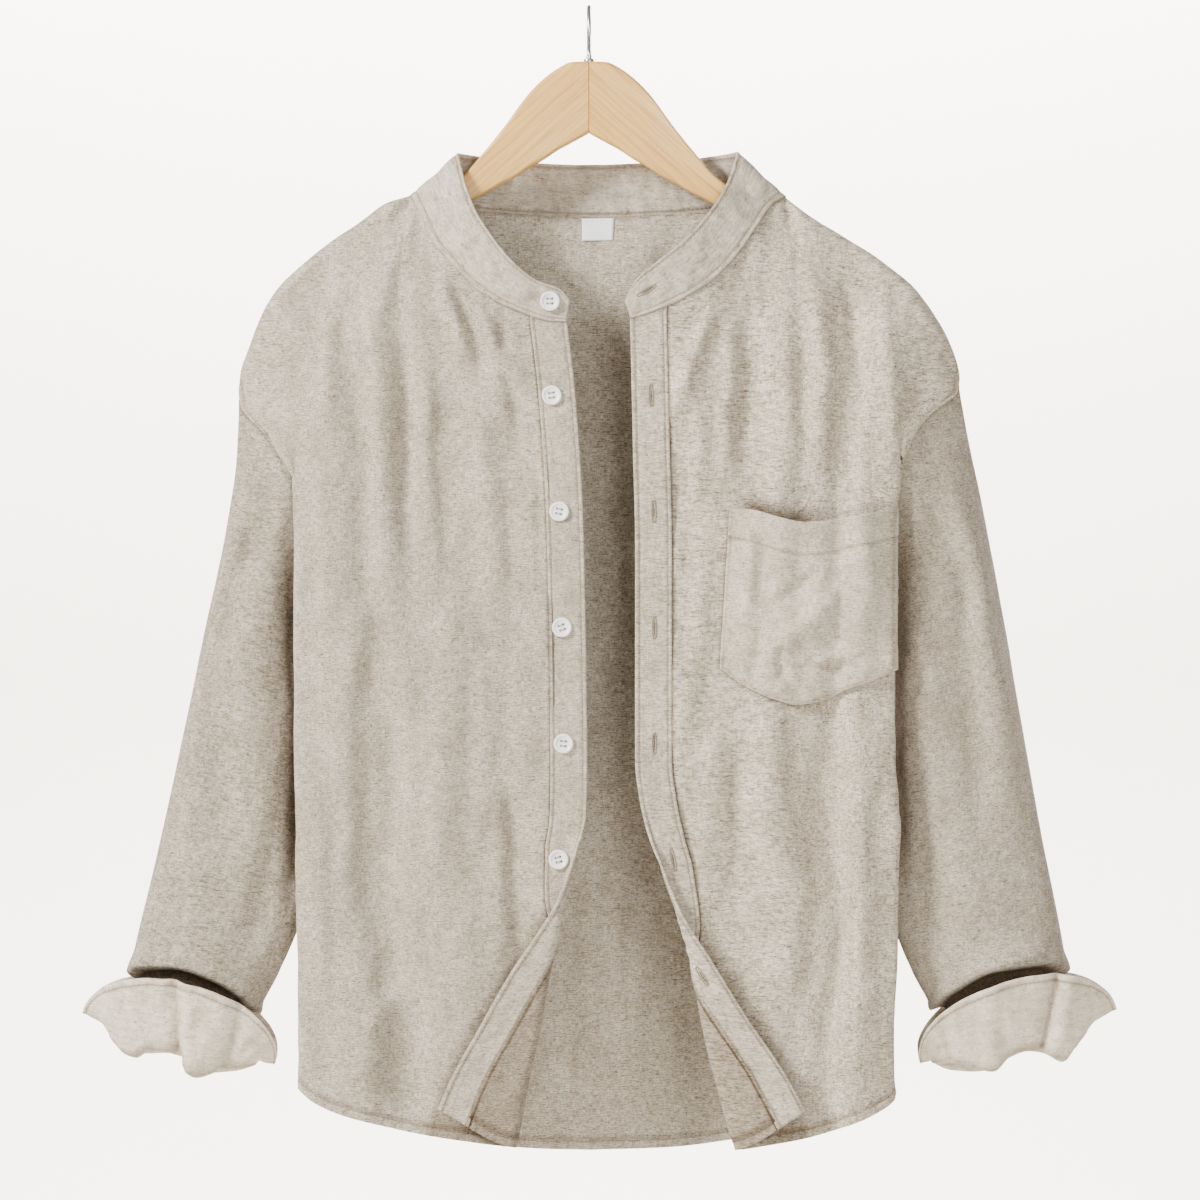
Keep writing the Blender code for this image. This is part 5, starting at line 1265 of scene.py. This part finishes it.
def add_sleeve(side):
    count, rows = FINE["sleeve"]
    s, t = crossed(np.arange(count) / count, finer_near((0, 0.955), rows, 0.03, 3.0))
    grid = sleeve(side)(s, t)
    under = grid[:, :1] - TUCK * normalised(grid[:, 1:2] - grid[:, :1])
    grid = np.concatenate([under, grid], axis=1)
    s = np.concatenate([s[:, :1], s], axis=1)
    t = np.concatenate([t[:, :1] - TUCK / SLEEVE_LONG, t], axis=1)
    round_it, down_it = s * SLEEVE_HALF, t * SLEEVE_LONG
    scale = np.array([SLEEVE_HALF, SLEEVE_LONG, SLEEVE_HALF, SLEEVE_LONG, SLEEVE_HALF, 1, 1])
    heights = crease_height([row * scale for row in np.array(SLEEVE_CREASES[side])], round_it, down_it)
    heights += round_ripples(s, t, [(0.8, 2.2, 9, 3.2, SEEDS[side]["sleeve"]), (0.35, 5, 20, 10, 43)])
    heights += 0.5 * np.exp(-down_it / 9) * noise(round_it / 7, t * 20, 47)
    heights += 0.5 * np.exp(-(SLEEVE_LONG - down_it) / 12) * noise(round_it / 6, t * 20, 53)
    o, h = np.abs(grid[..., 0]), -grid[..., 2]
    past = h - table(SLOT_TOP[side], 1, o)
    in_slot = smooth(past / 3.5)
    heights += 2.6 * smooth((past + 16) / 14) * smooth((1.5 - past) / 3) - SLOT_DEEP * in_slot
    outboard = o - table(RIDGE[side], 1, h)
    covered = smooth((t - 0.02) / 0.15) * smooth((0.86 - t) / 0.3)
    heights -= 5.0 * near(outboard - 4, 9) * covered
    shade = covered * (0.48 * near(np.maximum(outboard - 2, 0), 7) + 0.24 * near(np.maximum(outboard, 0), 34))
    shade += 0.95 * in_slot + 0.3 * near(down_it, 3) + 0.22 * near(down_it, 16) * smooth(1 - outboard / 20)
    felled = np.abs((s - FELLED) * SLEEVE_HALF)
    heights += 0.35 * smooth((FELL_WIDE - felled) / 2)
    heights += 0.25 * near(felled - 7, 5) * noise(down_it / 9, s * 20, 59)
    weave = round_it * 2, o * SLEEVE_LEAN[0] + h * SLEEVE_LEAN[1]
    centre = stack(side, *SLEEVE_MIDDLE)
    cloth_piece("sleeve_" + side, grid, heights, weave, shade, closed=True,
                forward=lambda point: normalised((point - centre) * np.array([1.0, 1.0, 0.2])))


def refined(side, around):
    """A cuff's rings, more of them on cardinal curves, and how far up the turned part each is."""
    rings = cuff_grid(side, around)
    step = np.linalg.norm(np.diff(rings, axis=1), axis=2).mean(axis=0)
    stations = np.concatenate([[0], np.cumsum(step)])
    at = np.linspace(0, stations[-1], FINE["cuff"][1])
    points = np.moveaxis(rings, 1, 0)
    out = np.stack([through(stations, points, np.full(len(around), a)) for a in at], axis=1)
    fold = stations[CUFF_FOLD_RING]
    return out, (at - fold) / (stations[-1] - fold)


def add_cuff(side):
    seed = SEEDS[side]["cuff"]
    count = FINE["cuff"][0]
    around = np.arange(count) / count
    grid, turned = refined(side, around)
    s, r = crossed(around, turned)
    outer = smooth(r / 0.12)
    heights, shade = np.zeros_like(s), np.zeros_like(s)
    for centre, width, height in CUFF_PLEATS[side]:
        across = s + 0.03 * r - centre
        heights += outer * 2.0 * height * near(across, width)
        shade += outer * 0.20 * max(-height, 0) * near(across, 0.5 * width)
    heights += outer * round_ripples(s, r, [(1.5, 3.4, 0, 0.8, seed), (0.8, 8, 0, 2, seed + 1)])
    heights += 0.4 * outer * near(r - 0.92, 0.06) * noise(s * 60, r, seed + 2)
    heights += 0.5 * outer * smooth((r - 0.92) / 0.02)
    shade += 0.34 * near(r - CUFF_STITCHED, 0.016) + 0.3 * near(r - 0.08, 0.06)
    o, h = np.abs(grid[..., 0]), -grid[..., 2]
    lean_out, lean_down = SLEEVE_LEAN
    weave = o * lean_down - h * lean_out, o * lean_out + h * lean_down + np.where(s < 0.5, 0, CUFF_BEHIND)
    cloth_piece("cuff_" + side, grid, heights, weave, shade, FOLDED, closed=True)


# The collar, the pocket and the label

COLLAR_LAP = -0.05  # how far it comes down over the panels, as a share of its height
COLLAR_STITCHES = (0.07, 0.93)
COLLAR_LONG, COLLAR_HIGH = 520.0, 31.0
POCKET_STITCHED, POCKET_HEM = 2.0, 23.0  # in from the pocket's edges, and below its top
TACK = (3, 10)  # columns of the tack at the mouth's inner corner, in mm


def add_collar():
    places = [(w - COLLAR_LAP) / (1 - COLLAR_LAP) for w in COLLAR_STITCHES]
    columns, rows = FINE["collar"]
    up = COLLAR_LAP + (1 - COLLAR_LAP) * finer_near(places, rows, 0.05, 2.0)
    f, w = crossed(np.linspace(0, 1, columns), up)
    run = f * COLLAR_LONG
    between = np.sin(math.pi * np.clip(w, 0, 1))
    heights = between * (1.3 * noise(run / 9 + w * 0.8, w * 2.2, 91) + 0.75 * noise(run / 4.2 - w, w * 3, 93))
    heights += 0.9 * between * noise(run / 26, w, 97) + 0.3 * np.exp(-np.abs(w) * 12) * noise(run / 6, w, 99)
    rows = sum(near(COLLAR_HIGH * (w - row), DIP) for row in COLLAR_STITCHES)
    heights += 0.7 * smooth((0.12 - w) / 0.12) - 0.5 * rows
    shade = 0.32 * rows + 0.3 * near(COLLAR_HIGH * (w - COLLAR_LAP), 1.0)
    cloth_piece("collar_band", collar(f, w), heights, (run, 30 * w), shade, FOLDED + 0.2,
                lambda point: normalised(np.array([point[0], point[1] + 5.0, 0.0])))


def pocket_grid(columns, rows):
    """The pocket's own points over the left front, and how far along and down each is."""
    panel = front("left")
    down = np.linspace(0, 1, rows)
    inner = [station_at("left", o, POCKET_H + POCKET_DEEP * b)
             for o, b in zip(table(POCKET_INNER, 1, down), down)]
    inner = np.array(inner)[None]
    u = inner + (U_RIDGE - inner) * np.linspace(0, 1, columns)[:, None]
    b = down[None] + np.zeros_like(u)
    o = panel(u, share_at("left", u, POCKET_H + POCKET_DEEP * b))[..., 0]
    a = (o - o[:1]) / (o[-1:] - o[:1])
    h = table(POCKET_TOP, 1, a) * (1 - b) + table(POCKET_BOTTOM, 1, a) * b
    base = panel(u, share_at("left", u, h))
    grid = base + toward_front(normals_of(base)) * (CLOTH + GAP + POCKET_EASE)
    grid[..., 1] -= table(POCKET_SWELL, 1, b) * np.sin(math.pi * np.clip(a, 0, 1)) ** 0.7
    return grid, a, b


def toward_front(normals):
    """Normals, turned where they point backward."""
    return normals * np.sign(-normals[..., 1:2])


def add_pocket():
    grid, a, b = pocket_grid(*FINE["pocket"])
    x, h = grid[..., 0], -grid[..., 2]
    across, down = a * POCKET_WIDE, b * POCKET_HIGH
    edges = np.minimum(np.minimum(across, POCKET_WIDE - across), POCKET_HIGH - down)
    free = smooth(edges / 12)
    low = smooth((b - 0.7) / 0.2)
    heights = free * (0.75 * crease_height(POCKET_CREASES, x, h) + 0.7 * noise(x / 16, h / 22, 101))
    heights += free * low * 1.2 * noise(x / 7, h / 9, 103)
    heights += (1 - free) * 0.45 * noise((x + h) / 7, (x - h) / 30, 107)
    hem, sewn_edge = near(down - POCKET_HEM, 1.2), near(edges - POCKET_STITCHED, 1.0)
    heights += 0.35 * smooth((POCKET_HEM + 1 - down) / 2) - 0.4 * hem - 0.3 * sewn_edge
    cloth_piece("chest_pocket", grid, heights, (x, h), 0.3 * hem + 0.28 * sewn_edge)


def add_label():
    columns, rows = FINE["label"]
    a, b = crossed(np.linspace(0, 1, columns), np.linspace(0, 1, rows))
    base = back((LABEL_OFFSET + (a - 0.5) * LABEL_WIDTH) / BACK_NECK_SCALE,
                (LABEL_START + b * LABEL_HEIGHT) / BACK_DROP)
    away = THIN / 2 + 0.6 + 1.0 * smooth(b / 0.7) + 0.25 * np.sin(2 * math.pi * a) * b
    grid = base + toward_front(normals_of(base)) * away[..., None]
    cloth_piece("neck_label", grid, 0.0, (a * LABEL_WIDTH, b * LABEL_HEIGHT), 0.0, TAPE)
    return [sew("stitches_label", "neck_label", [(grid[1:-1, 1], 1)])]


# Stitches: runs are (points along it, 1 for the outside or -1 for the inside)

def on_both(line):
    """A run outside and one inside."""
    return [(line, 1), (line, -1)]


def sew(name, node, runs):
    """Rows of short raised threads on a piece."""
    piece, points, faces = made[node], [], []
    for line, sense in runs:
        length = run_length(line)
        count = max(int(length[-1] / PITCH), 1)
        for k in range(count):
            start = (k + 0.5) * length[-1] / count - STITCH / 2
            ends = []
            for share, raised in ((0.0, -0.5), (0.5, 0.75), (1.0, -0.5)):
                at = [np.interp(start + STITCH * share, length, line[:, c]) for c in range(3)]
                where, normal = surface_point(piece, at)
                lift = piece["wall"] / 2 + THREAD_RADIUS * raised
                ends.append((where + normal * sense * lift, normal * sense))
            forward = normalised(ends[2][0] - ends[0][0])
            base = len(points)
            for centre, normal in ends:
                sideways = normalised(np.cross(forward, normal))
                for turn in turns(4):
                    a = math.pi / 4 + turn
                    points.append(centre + (sideways * math.cos(a) + normal * math.sin(a)) * THREAD_RADIUS)
            faces += [tuple(base + k for k in face) for face in skin(3, 4)]
    return belongs(write_mesh(name, points, faces, thread), node, False)


def hem_line(surface, low, tops, stations):
    """The line of a panel's hem stitches."""
    return surface(stations, 1 - HEM / (low - tops))


def armhole_lines(surface, side, low, sign=1):
    """The rows of stitches in from the armhole, on a panel that ends at `low`."""
    top, underarm = ARMHOLE_H[side]
    v = np.linspace(0.0, (underarm - top) / (table(low, 1, 1.0) - top), 150)
    return [(surface(np.full(150, sign * (1 - inboard / PER_STATION)), v), 1) for inboard in STITCHED]


def add_stitches():
    sewn = {}

    def sew_on(node, runs, name=None):
        sewn[node] = [sew("stitches_" + (name or node), node, runs)]

    for side in SIGN:
        panel = front(side)
        v = np.linspace(0.004, 0.992, 420)
        lines = [panel(np.full(420, PER_MM * across), v) for across in STRIP_STITCHES]
        sew_on(STRIPS[side], [run for line in lines for run in on_both(line)])
        stations = np.linspace(PER_MM * (STRIP + 1), 0.995, 300)
        hem = hem_line(panel, table(FRONT_HEM[side], 1, stations), top_h(side, stations), stations)
        sew_on("front_" + side, on_both(hem) + armhole_lines(panel, side, FRONT_HEM[side]))
        t = np.linspace(0.02, 0.985, 260)
        sew_on("sleeve_" + side, [(sleeve(side)(np.full(260, s), t), 1) for s in FELL_STITCHES])
        grid, turned = refined(side, np.arange(181) / 180 % 1.0)
        sew_on("cuff_" + side, on_both(grid[:, int(np.argmin(np.abs(turned - CUFF_STITCHED)))]))
    stations = np.linspace(-0.995, 0.995, 620)
    tops = -back(stations, np.zeros_like(stations))[:, 2]
    runs = on_both(hem_line(back, back_hem(stations), tops, stations))
    for side, sign in SIGN.items():
        runs += armhole_lines(back, side, BACK_HEM[side], sign)
    sew_on("back", runs)
    f = np.linspace(0.004, 0.996, 700)
    runs = [run for w in COLLAR_STITCHES for run in on_both(collar(f, np.full_like(f, w)))]
    runs += [(collar(np.full(12, end), np.linspace(0.1, 0.9, 12)), 1) for end in (0.008, 0.992)]
    sew_on("collar_band", runs, "collar")
    grid = pocket_grid(POCKET_WIDE, POCKET_HIGH)[0]  # lines about 1 mm apart
    inset, hem = int(POCKET_STITCHED), int(POCKET_HEM)
    lines = [grid[inset, 1:-inset], grid[inset:-inset, -inset - 1], grid[-inset - 1, 1:-inset],
             grid[inset:-inset, hem]]
    lines += [grid[column, 1:hem] for column in TACK]
    sew_on("chest_pocket", [(line, 1) for line in lines], "pocket")
    return sewn


BUTTONHOLE_INSET = 14.5  # from the front edge
HOLE_LONG, HOLE_WIDE = 8.2, 1.5  # half of a buttonhole's ring of thread
HOLE_SQUARE = 1.15  # how much the ring's ends are squared off
RING_COUNT, RING_WRAPS = 48, 24  # steps round the ring, and turns of its thread
RING_LIFT, SLIT_LIFT = 0.15, 0.02  # over the cloth
SLIT_LONG, SLIT_RADII = 6.2, [0.15, 0.3, 0.4, 0.5, 0.55, 0.5, 0.4, 0.3, 0.15]


def buttonhole_places():
    """For each buttonhole its piece, its place, and the way it runs."""
    u = PER_MM * BUTTONHOLE_INSET
    places = []
    for k in range(FRONT_BUTTONS):
        v = share_at("left", np.array([u]), FIRST_BUTTON_H + BUTTON_PITCH * k)[0]
        places.append((made["buttonhole_placket"], front("left"), u, v, (0, 0.01)))
    on_collar = 1 - COLLAR_BUTTON_ALONG - 0.004
    return places + [(made["collar_band"], collar, on_collar, COLLAR_BUTTON_UP, (-0.01, 0))]


def add_buttonholes():
    """Worked slots on both sides of the cloth: a ring of thread round a slit, drawn as a dark tube of painted
    shade.
    """
    rings, slits = [], []
    for piece, surface, u, v, step in buttonhole_places():
        here, beyond = surface(np.array([u, u + step[0]]), np.array([v, v + step[1]]))
        forward = normalised(beyond - here)
        where, normal = surface_point(piece, here)
        for sense in (1, -1):
            out = normal * sense
            sideways = normalised(np.cross(forward, out))
            loop, sizes = [], []
            for i in range(RING_COUNT + 1):
                turn = 2 * math.pi * i / RING_COUNT
                long, wide = HOLE_LONG * math.cos(turn), HOLE_WIDE * math.sin(turn)
                long = math.copysign(min(abs(long) * HOLE_SQUARE, HOLE_LONG), long)
                spot, spot_normal = surface_point(piece, here + forward * long + sideways * wide)
                bump = 0.08 * math.sin(turn * RING_WRAPS)
                lift = piece["wall"] / 2 + RING_LIFT + bump
                loop.append(spot + spot_normal * sense * lift + sideways * bump)
                sizes.append(0.5 + 0.12 * math.sin(i * 2.1))
            rings.append(tube(loop, sizes, 6))
            # the slit: a dark tube of painted shade along the cut
            start = where + out * (piece["wall"] / 2 + 0.12)
            slit = [surface_point(piece, start + forward * a)[0] + out * (piece["wall"] / 2 + SLIT_LIFT)
                    for a in np.linspace(-SLIT_LONG, SLIT_LONG, len(SLIT_RADII))]
            slits.append(tube(slit, SLIT_RADII, 6))
    return [belongs(write_mesh("buttonhole_" + name, *merge(parts), material), "buttonhole_placket", False)
            for name, parts, material in (("thread", rings, thread), ("slits", slits, painted_slit_shade))]


# Buttons, hanger and hook

HOLE_RADIUS, HOLE_PLACE = 1.0, 1.8
BUTTON_PROFILE = [(6.4, -1.2), (7.2, -0.9), (7.5, -0.3), (7.5, 0.35), (7.2, 0.95), (6.6, 1.2), (5.9, 1.15),
                  (5.2, 0.6), (4.6, 0.3), (0.4, 0.3)]
BUTTON_TURNS = (0, 8, -12, 20, -6, 14, 3)  # degrees
BUTTON_STITCH = [(-1.05, -0.7), (-0.85, 0.38), (-0.4, 0.62), (0, 0.68), (0.4, 0.62), (0.85, 0.38),
                 (1.05, -0.7)]
SHANK = [(0, 0, -0.55 - DOUBLE / 2), (0, 0, -0.9)]
SHARP = math.radians(40)
ARM_STATIONS = np.concatenate([[0.0, 0.6], np.linspace(1.2, 60, 26), np.linspace(64, 214, 40),
                               [217, 219, 220]])
ARM_GROOVE = 0.7  # where the two arms meet
FOOT_PROFILE = [(3.6, 0.0), (4.0, 0.3), (4.0, 1.4), (3.6, 1.9), (2.2, 2.2), (2.0, 4.6), (1.7, 4.9)]
STEM = [(0, 0, -HOOK_RISE + 4.0), (0, 0, -33.5), (0, 2.5, -29.5), (0, 9, -26.0), (0, 14.6, -22.0)]
HOOK_ROUND = 195  # degrees
TIP = (0.95, 0.75, 0.35)  # the wire's last sizes


def button_mesh():
    body = write_mesh("button_body", *turned_solid(BUTTON_PROFILE, 48))
    holes = [turned_solid([(HOLE_RADIUS, -2.5), (HOLE_RADIUS, 2.5)], 14, (x * HOLE_PLACE, y * HOLE_PLACE, 0))
             for x in (-1, 1) for y in (-1, 1)]
    cutter = write_mesh("button_holes", *merge(holes))
    cut = body.modifiers.new("Holes", "BOOLEAN")
    cut.operation, cut.object, cut.solver = "DIFFERENCE", cutter, "EXACT"
    mesh = bpy.data.meshes.new_from_object(body.evaluated_get(bpy.context.evaluated_depsgraph_get()))
    for item in (body, cutter):
        bpy.data.objects.remove(item, do_unlink=True)
    mesh.set_sharp_from_angle(angle=SHARP)
    mesh.materials.clear()
    mesh.materials.append(white_button)
    return mesh


def button_places():
    """Each button's place on the cloth and the way it faces, the collar's first."""
    panel = front("right")
    at = COLLAR_BUTTON_ALONG, COLLAR_BUTTON_UP
    places = [(collar(*(np.array([a]) for a in at))[0], normal_beside(collar, *at, -1))]
    for k in range(FRONT_BUTTONS):
        last = k == FRONT_BUTTONS - 1
        u = np.array([PER_MM * (LAST_BUTTON_INSET if last else BUTTON_INSET)])
        v = share_at("right", u, FIRST_BUTTON_H + BUTTON_PITCH * k)
        normal = normal_beside(panel, u[0], v[0], 1 if last else -1)
        places.append((panel(u, v)[0] + normal * BUTTON_RAISED.get(k, 0), normal))
    return places


def add_buttons():
    mesh = button_mesh()
    lines = [[(x * HOLE_PLACE, y * HOLE_PLACE + beside, z) for x, z in BUTTON_STITCH]
             for y in (-1, 1) for beside in (-0.256, 0.256)]
    threads = merge([tube(line, 0.24, 6) for line in lines] + [tube(SHANK, 0.8, 10)])
    for k, (point, normal) in enumerate(button_places()):
        name = f"button_{k + 1}"
        centre = point + normal * (DOUBLE / 2 + GAP + BUTTON_THICK / 2)
        turned = Matrix.Rotation(math.radians(BUTTON_TURNS[k]), 4, "Z")
        placed = Vector(normal).to_track_quat("Z", "Y").to_matrix().to_4x4() @ turned
        placed = Matrix.Translation(Vector(centre) * MM) @ placed
        item = bpy.data.objects.new(name, mesh.copy())
        bpy.context.scene.collection.objects.link(item)
        item.data.transform(placed)
        belongs(item, name)
        sewn = write_mesh(name + "_thread", *threads, button_thread)
        sewn.data.transform(placed)
        belongs(sewn, name, False)


def add_hanger():
    rows = np.array(ARM_PROFILE, float)
    for side in SIGN:
        rings = []
        for o in ARM_STATIONS:
            top, low, half = (float(monotone(rows[:, 0], rows[:, k], o)) for k in (1, 2, 3))
            top = seated_top(side, o, top)
            groove = ARM_GROOVE if o == 0 else 0.0
            low = max(low, top + ARM_DEEP) - groove
            rings.append(arm_section(side, o, top + groove, low, half - groove, 9))
        name = "hanger_arm_" + side
        item = write_mesh(name, np.concatenate(rings), skin(len(rings), len(rings[0])),
                          wood("wood_" + side, SIGN[side]))
        shaped = bmesh.new()
        shaped.from_mesh(item.data)
        bmesh.ops.recalc_face_normals(shaped, faces=shaped.faces)
        shaped.to_mesh(item.data)
        shaped.free()
        item.data.set_sharp_from_angle(angle=SHARP)
        belongs(item, name)


def add_hook():
    radius = HOOK_INNER_RADIUS + WIRE_RADIUS
    angles = np.radians(np.linspace(0, HOOK_ROUND, 60))
    arc = [(0, radius * math.cos(turn), radius * math.sin(turn) - HOOK_INNER_RADIUS) for turn in angles]
    points = np.array(STEM + arc, float)
    length = run_length(points)
    at = np.linspace(0, length[-1], 150)
    line = np.stack([np.interp(at, length, points[:, c]) for c in range(3)], axis=-1)
    for _ in range(6):
        line[1:-1] = (line[:-2] + 2 * line[1:-1] + line[2:]) / 4
    sizes = np.full(len(line), WIRE_RADIUS)
    sizes[-len(TIP):] *= TIP
    foot = turned_solid(FOOT_PROFILE, 32, (0, 0, 0.1 - HOOK_RISE))
    item = write_mesh("hanger_hook", *merge([tube(line, sizes, 20), foot]), steel)
    item.data.set_sharp_from_angle(angle=SHARP)
    belongs(item, "hanger_hook")


# The studio, in metres

FLOOR, FLOOR_REACH = -1.8, 10.0
WALL, WALL_TOP, WALL_CURVE = 10.0, 3.2, 1.2  # behind every place from which the shirt is looked at
STUDIO_LIGHT, WORLD_STRENGTH = (1.0, 0.985, 0.96), 0.36
STUDIO_LIGHTS = [  # name, place, size, watts, aimed at
    ("key", (-2.7, -1.8, 1.5), (0.8, 0.8), 400, (0, 0, -0.45)),
    ("fill", (1.2, -3.6, 0.3), (1.6, 1.6), 110, (0, 0, -0.45)),
    ("behind", (2.8, 3.2, 1.5), (0.9, 0.9), 170, (0, 0, -0.45)),
    ("paper", (0.0, 8.2, 2.6), (6.0, 1.0), 1500, (0, 10.0, -0.9)),
]
CAMERA_PLACE, CAMERA_LENS = (0.0084, -6.0, -0.4512), 235.7


def add_studio():
    profile = [(-FLOOR_REACH, FLOOR), (WALL - WALL_CURVE, FLOOR)]
    for turn in np.radians(90 * np.arange(1, 17) / 16):
        profile.append((WALL - WALL_CURVE * (1 - math.sin(turn)), FLOOR + WALL_CURVE * (1 - math.cos(turn))))
    profile.append((WALL, WALL_TOP))
    points = np.array([(x, y, z) for x in (-FLOOR_REACH, FLOOR_REACH) for y, z in profile])
    paper = plain("studio_paper", (0.90, 0.872, 0.80), 0.95, 0.0, 0.05, 0.01, 3.0)
    faces = [(k, k + 1, len(profile) + k + 1, len(profile) + k) for k in range(len(profile) - 1)]
    write_mesh("cove", points / MM, faces, paper)
    world = bpy.data.worlds.new("studio")
    world.use_nodes = True
    world.node_tree.nodes["Background"].inputs["Color"].default_value = (*STUDIO_LIGHT, 1)
    world.node_tree.nodes["Background"].inputs["Strength"].default_value = WORLD_STRENGTH
    bpy.context.scene.world = world
    for name, place_at, size, power, target in STUDIO_LIGHTS:
        lamp = bpy.data.lights.new(name, "AREA")
        lamp.shape, lamp.size, lamp.size_y = "RECTANGLE", size[0], size[1]
        lamp.energy, lamp.color = power, STUDIO_LIGHT
        item = bpy.data.objects.new(name, lamp)
        item.location = place_at
        item.rotation_euler = (Vector(target) - Vector(place_at)).to_track_quat("-Z", "Y").to_euler()
        bpy.context.scene.collection.objects.link(item)
    camera = bpy.data.cameras.new("camera")
    camera.sensor_width, camera.lens, camera.clip_end = 36.0, CAMERA_LENS, 50
    holder = bpy.data.objects.new("camera", camera)
    holder.location = CAMERA_PLACE
    holder.rotation_euler = (math.radians(90), 0, 0)
    bpy.context.scene.collection.objects.link(holder)
    bpy.context.scene.camera = holder


# What each sheet was cut to: width and length in metres

FRONT_FLAT, SLEEVE_FLAT, CUFF_FLAT, STRIP_FLAT = (0.30, 0.73), (0.41, 0.48), (0.31, 0.09), (0.028, 0.64)
FLAT = {
    "front_right": FRONT_FLAT, "front_left": FRONT_FLAT, "back": (0.62, 0.73),
    "sleeve_right": SLEEVE_FLAT, "sleeve_left": SLEEVE_FLAT, "cuff_right": CUFF_FLAT, "cuff_left": CUFF_FLAT,
    "collar_band": (0.60, 0.04), "button_placket": STRIP_FLAT, "buttonhole_placket": STRIP_FLAT,
    "chest_pocket": (0.15, 0.14), "neck_label": (0.025, 0.018),
}


def middle_area(piece):
    """The area of a piece's middle layer, in square metres."""
    points = piece["points"]
    if piece["closed"]:
        points = np.concatenate([points, points[:1]])
    a, b = points[1:, :-1] - points[:-1, :-1], points[:-1, 1:] - points[:-1, :-1]
    return float(np.linalg.norm(np.cross(a, b), axis=2).sum()) * MM * MM


def declare_sheets(sewn):
    for name, flat in FLAT.items():
        min(middle_area(made[name]), flat[0] * flat[1])
        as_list(sewn.get(name, []))


# Everything together

for side in SIGN:
    add_front(side)
    add_strip(side)
add_back()
for add in (add_sleeve, add_cuff):
    for side in SIGN:
        add(side)
add_collar()
add_pocket()
stitches = {"neck_label": add_label(), **add_stitches()}
stitches["buttonhole_placket"] += add_buttonholes()
add_buttons()
add_hanger()
add_hook()
add_studio()
declare_sheets(stitches)
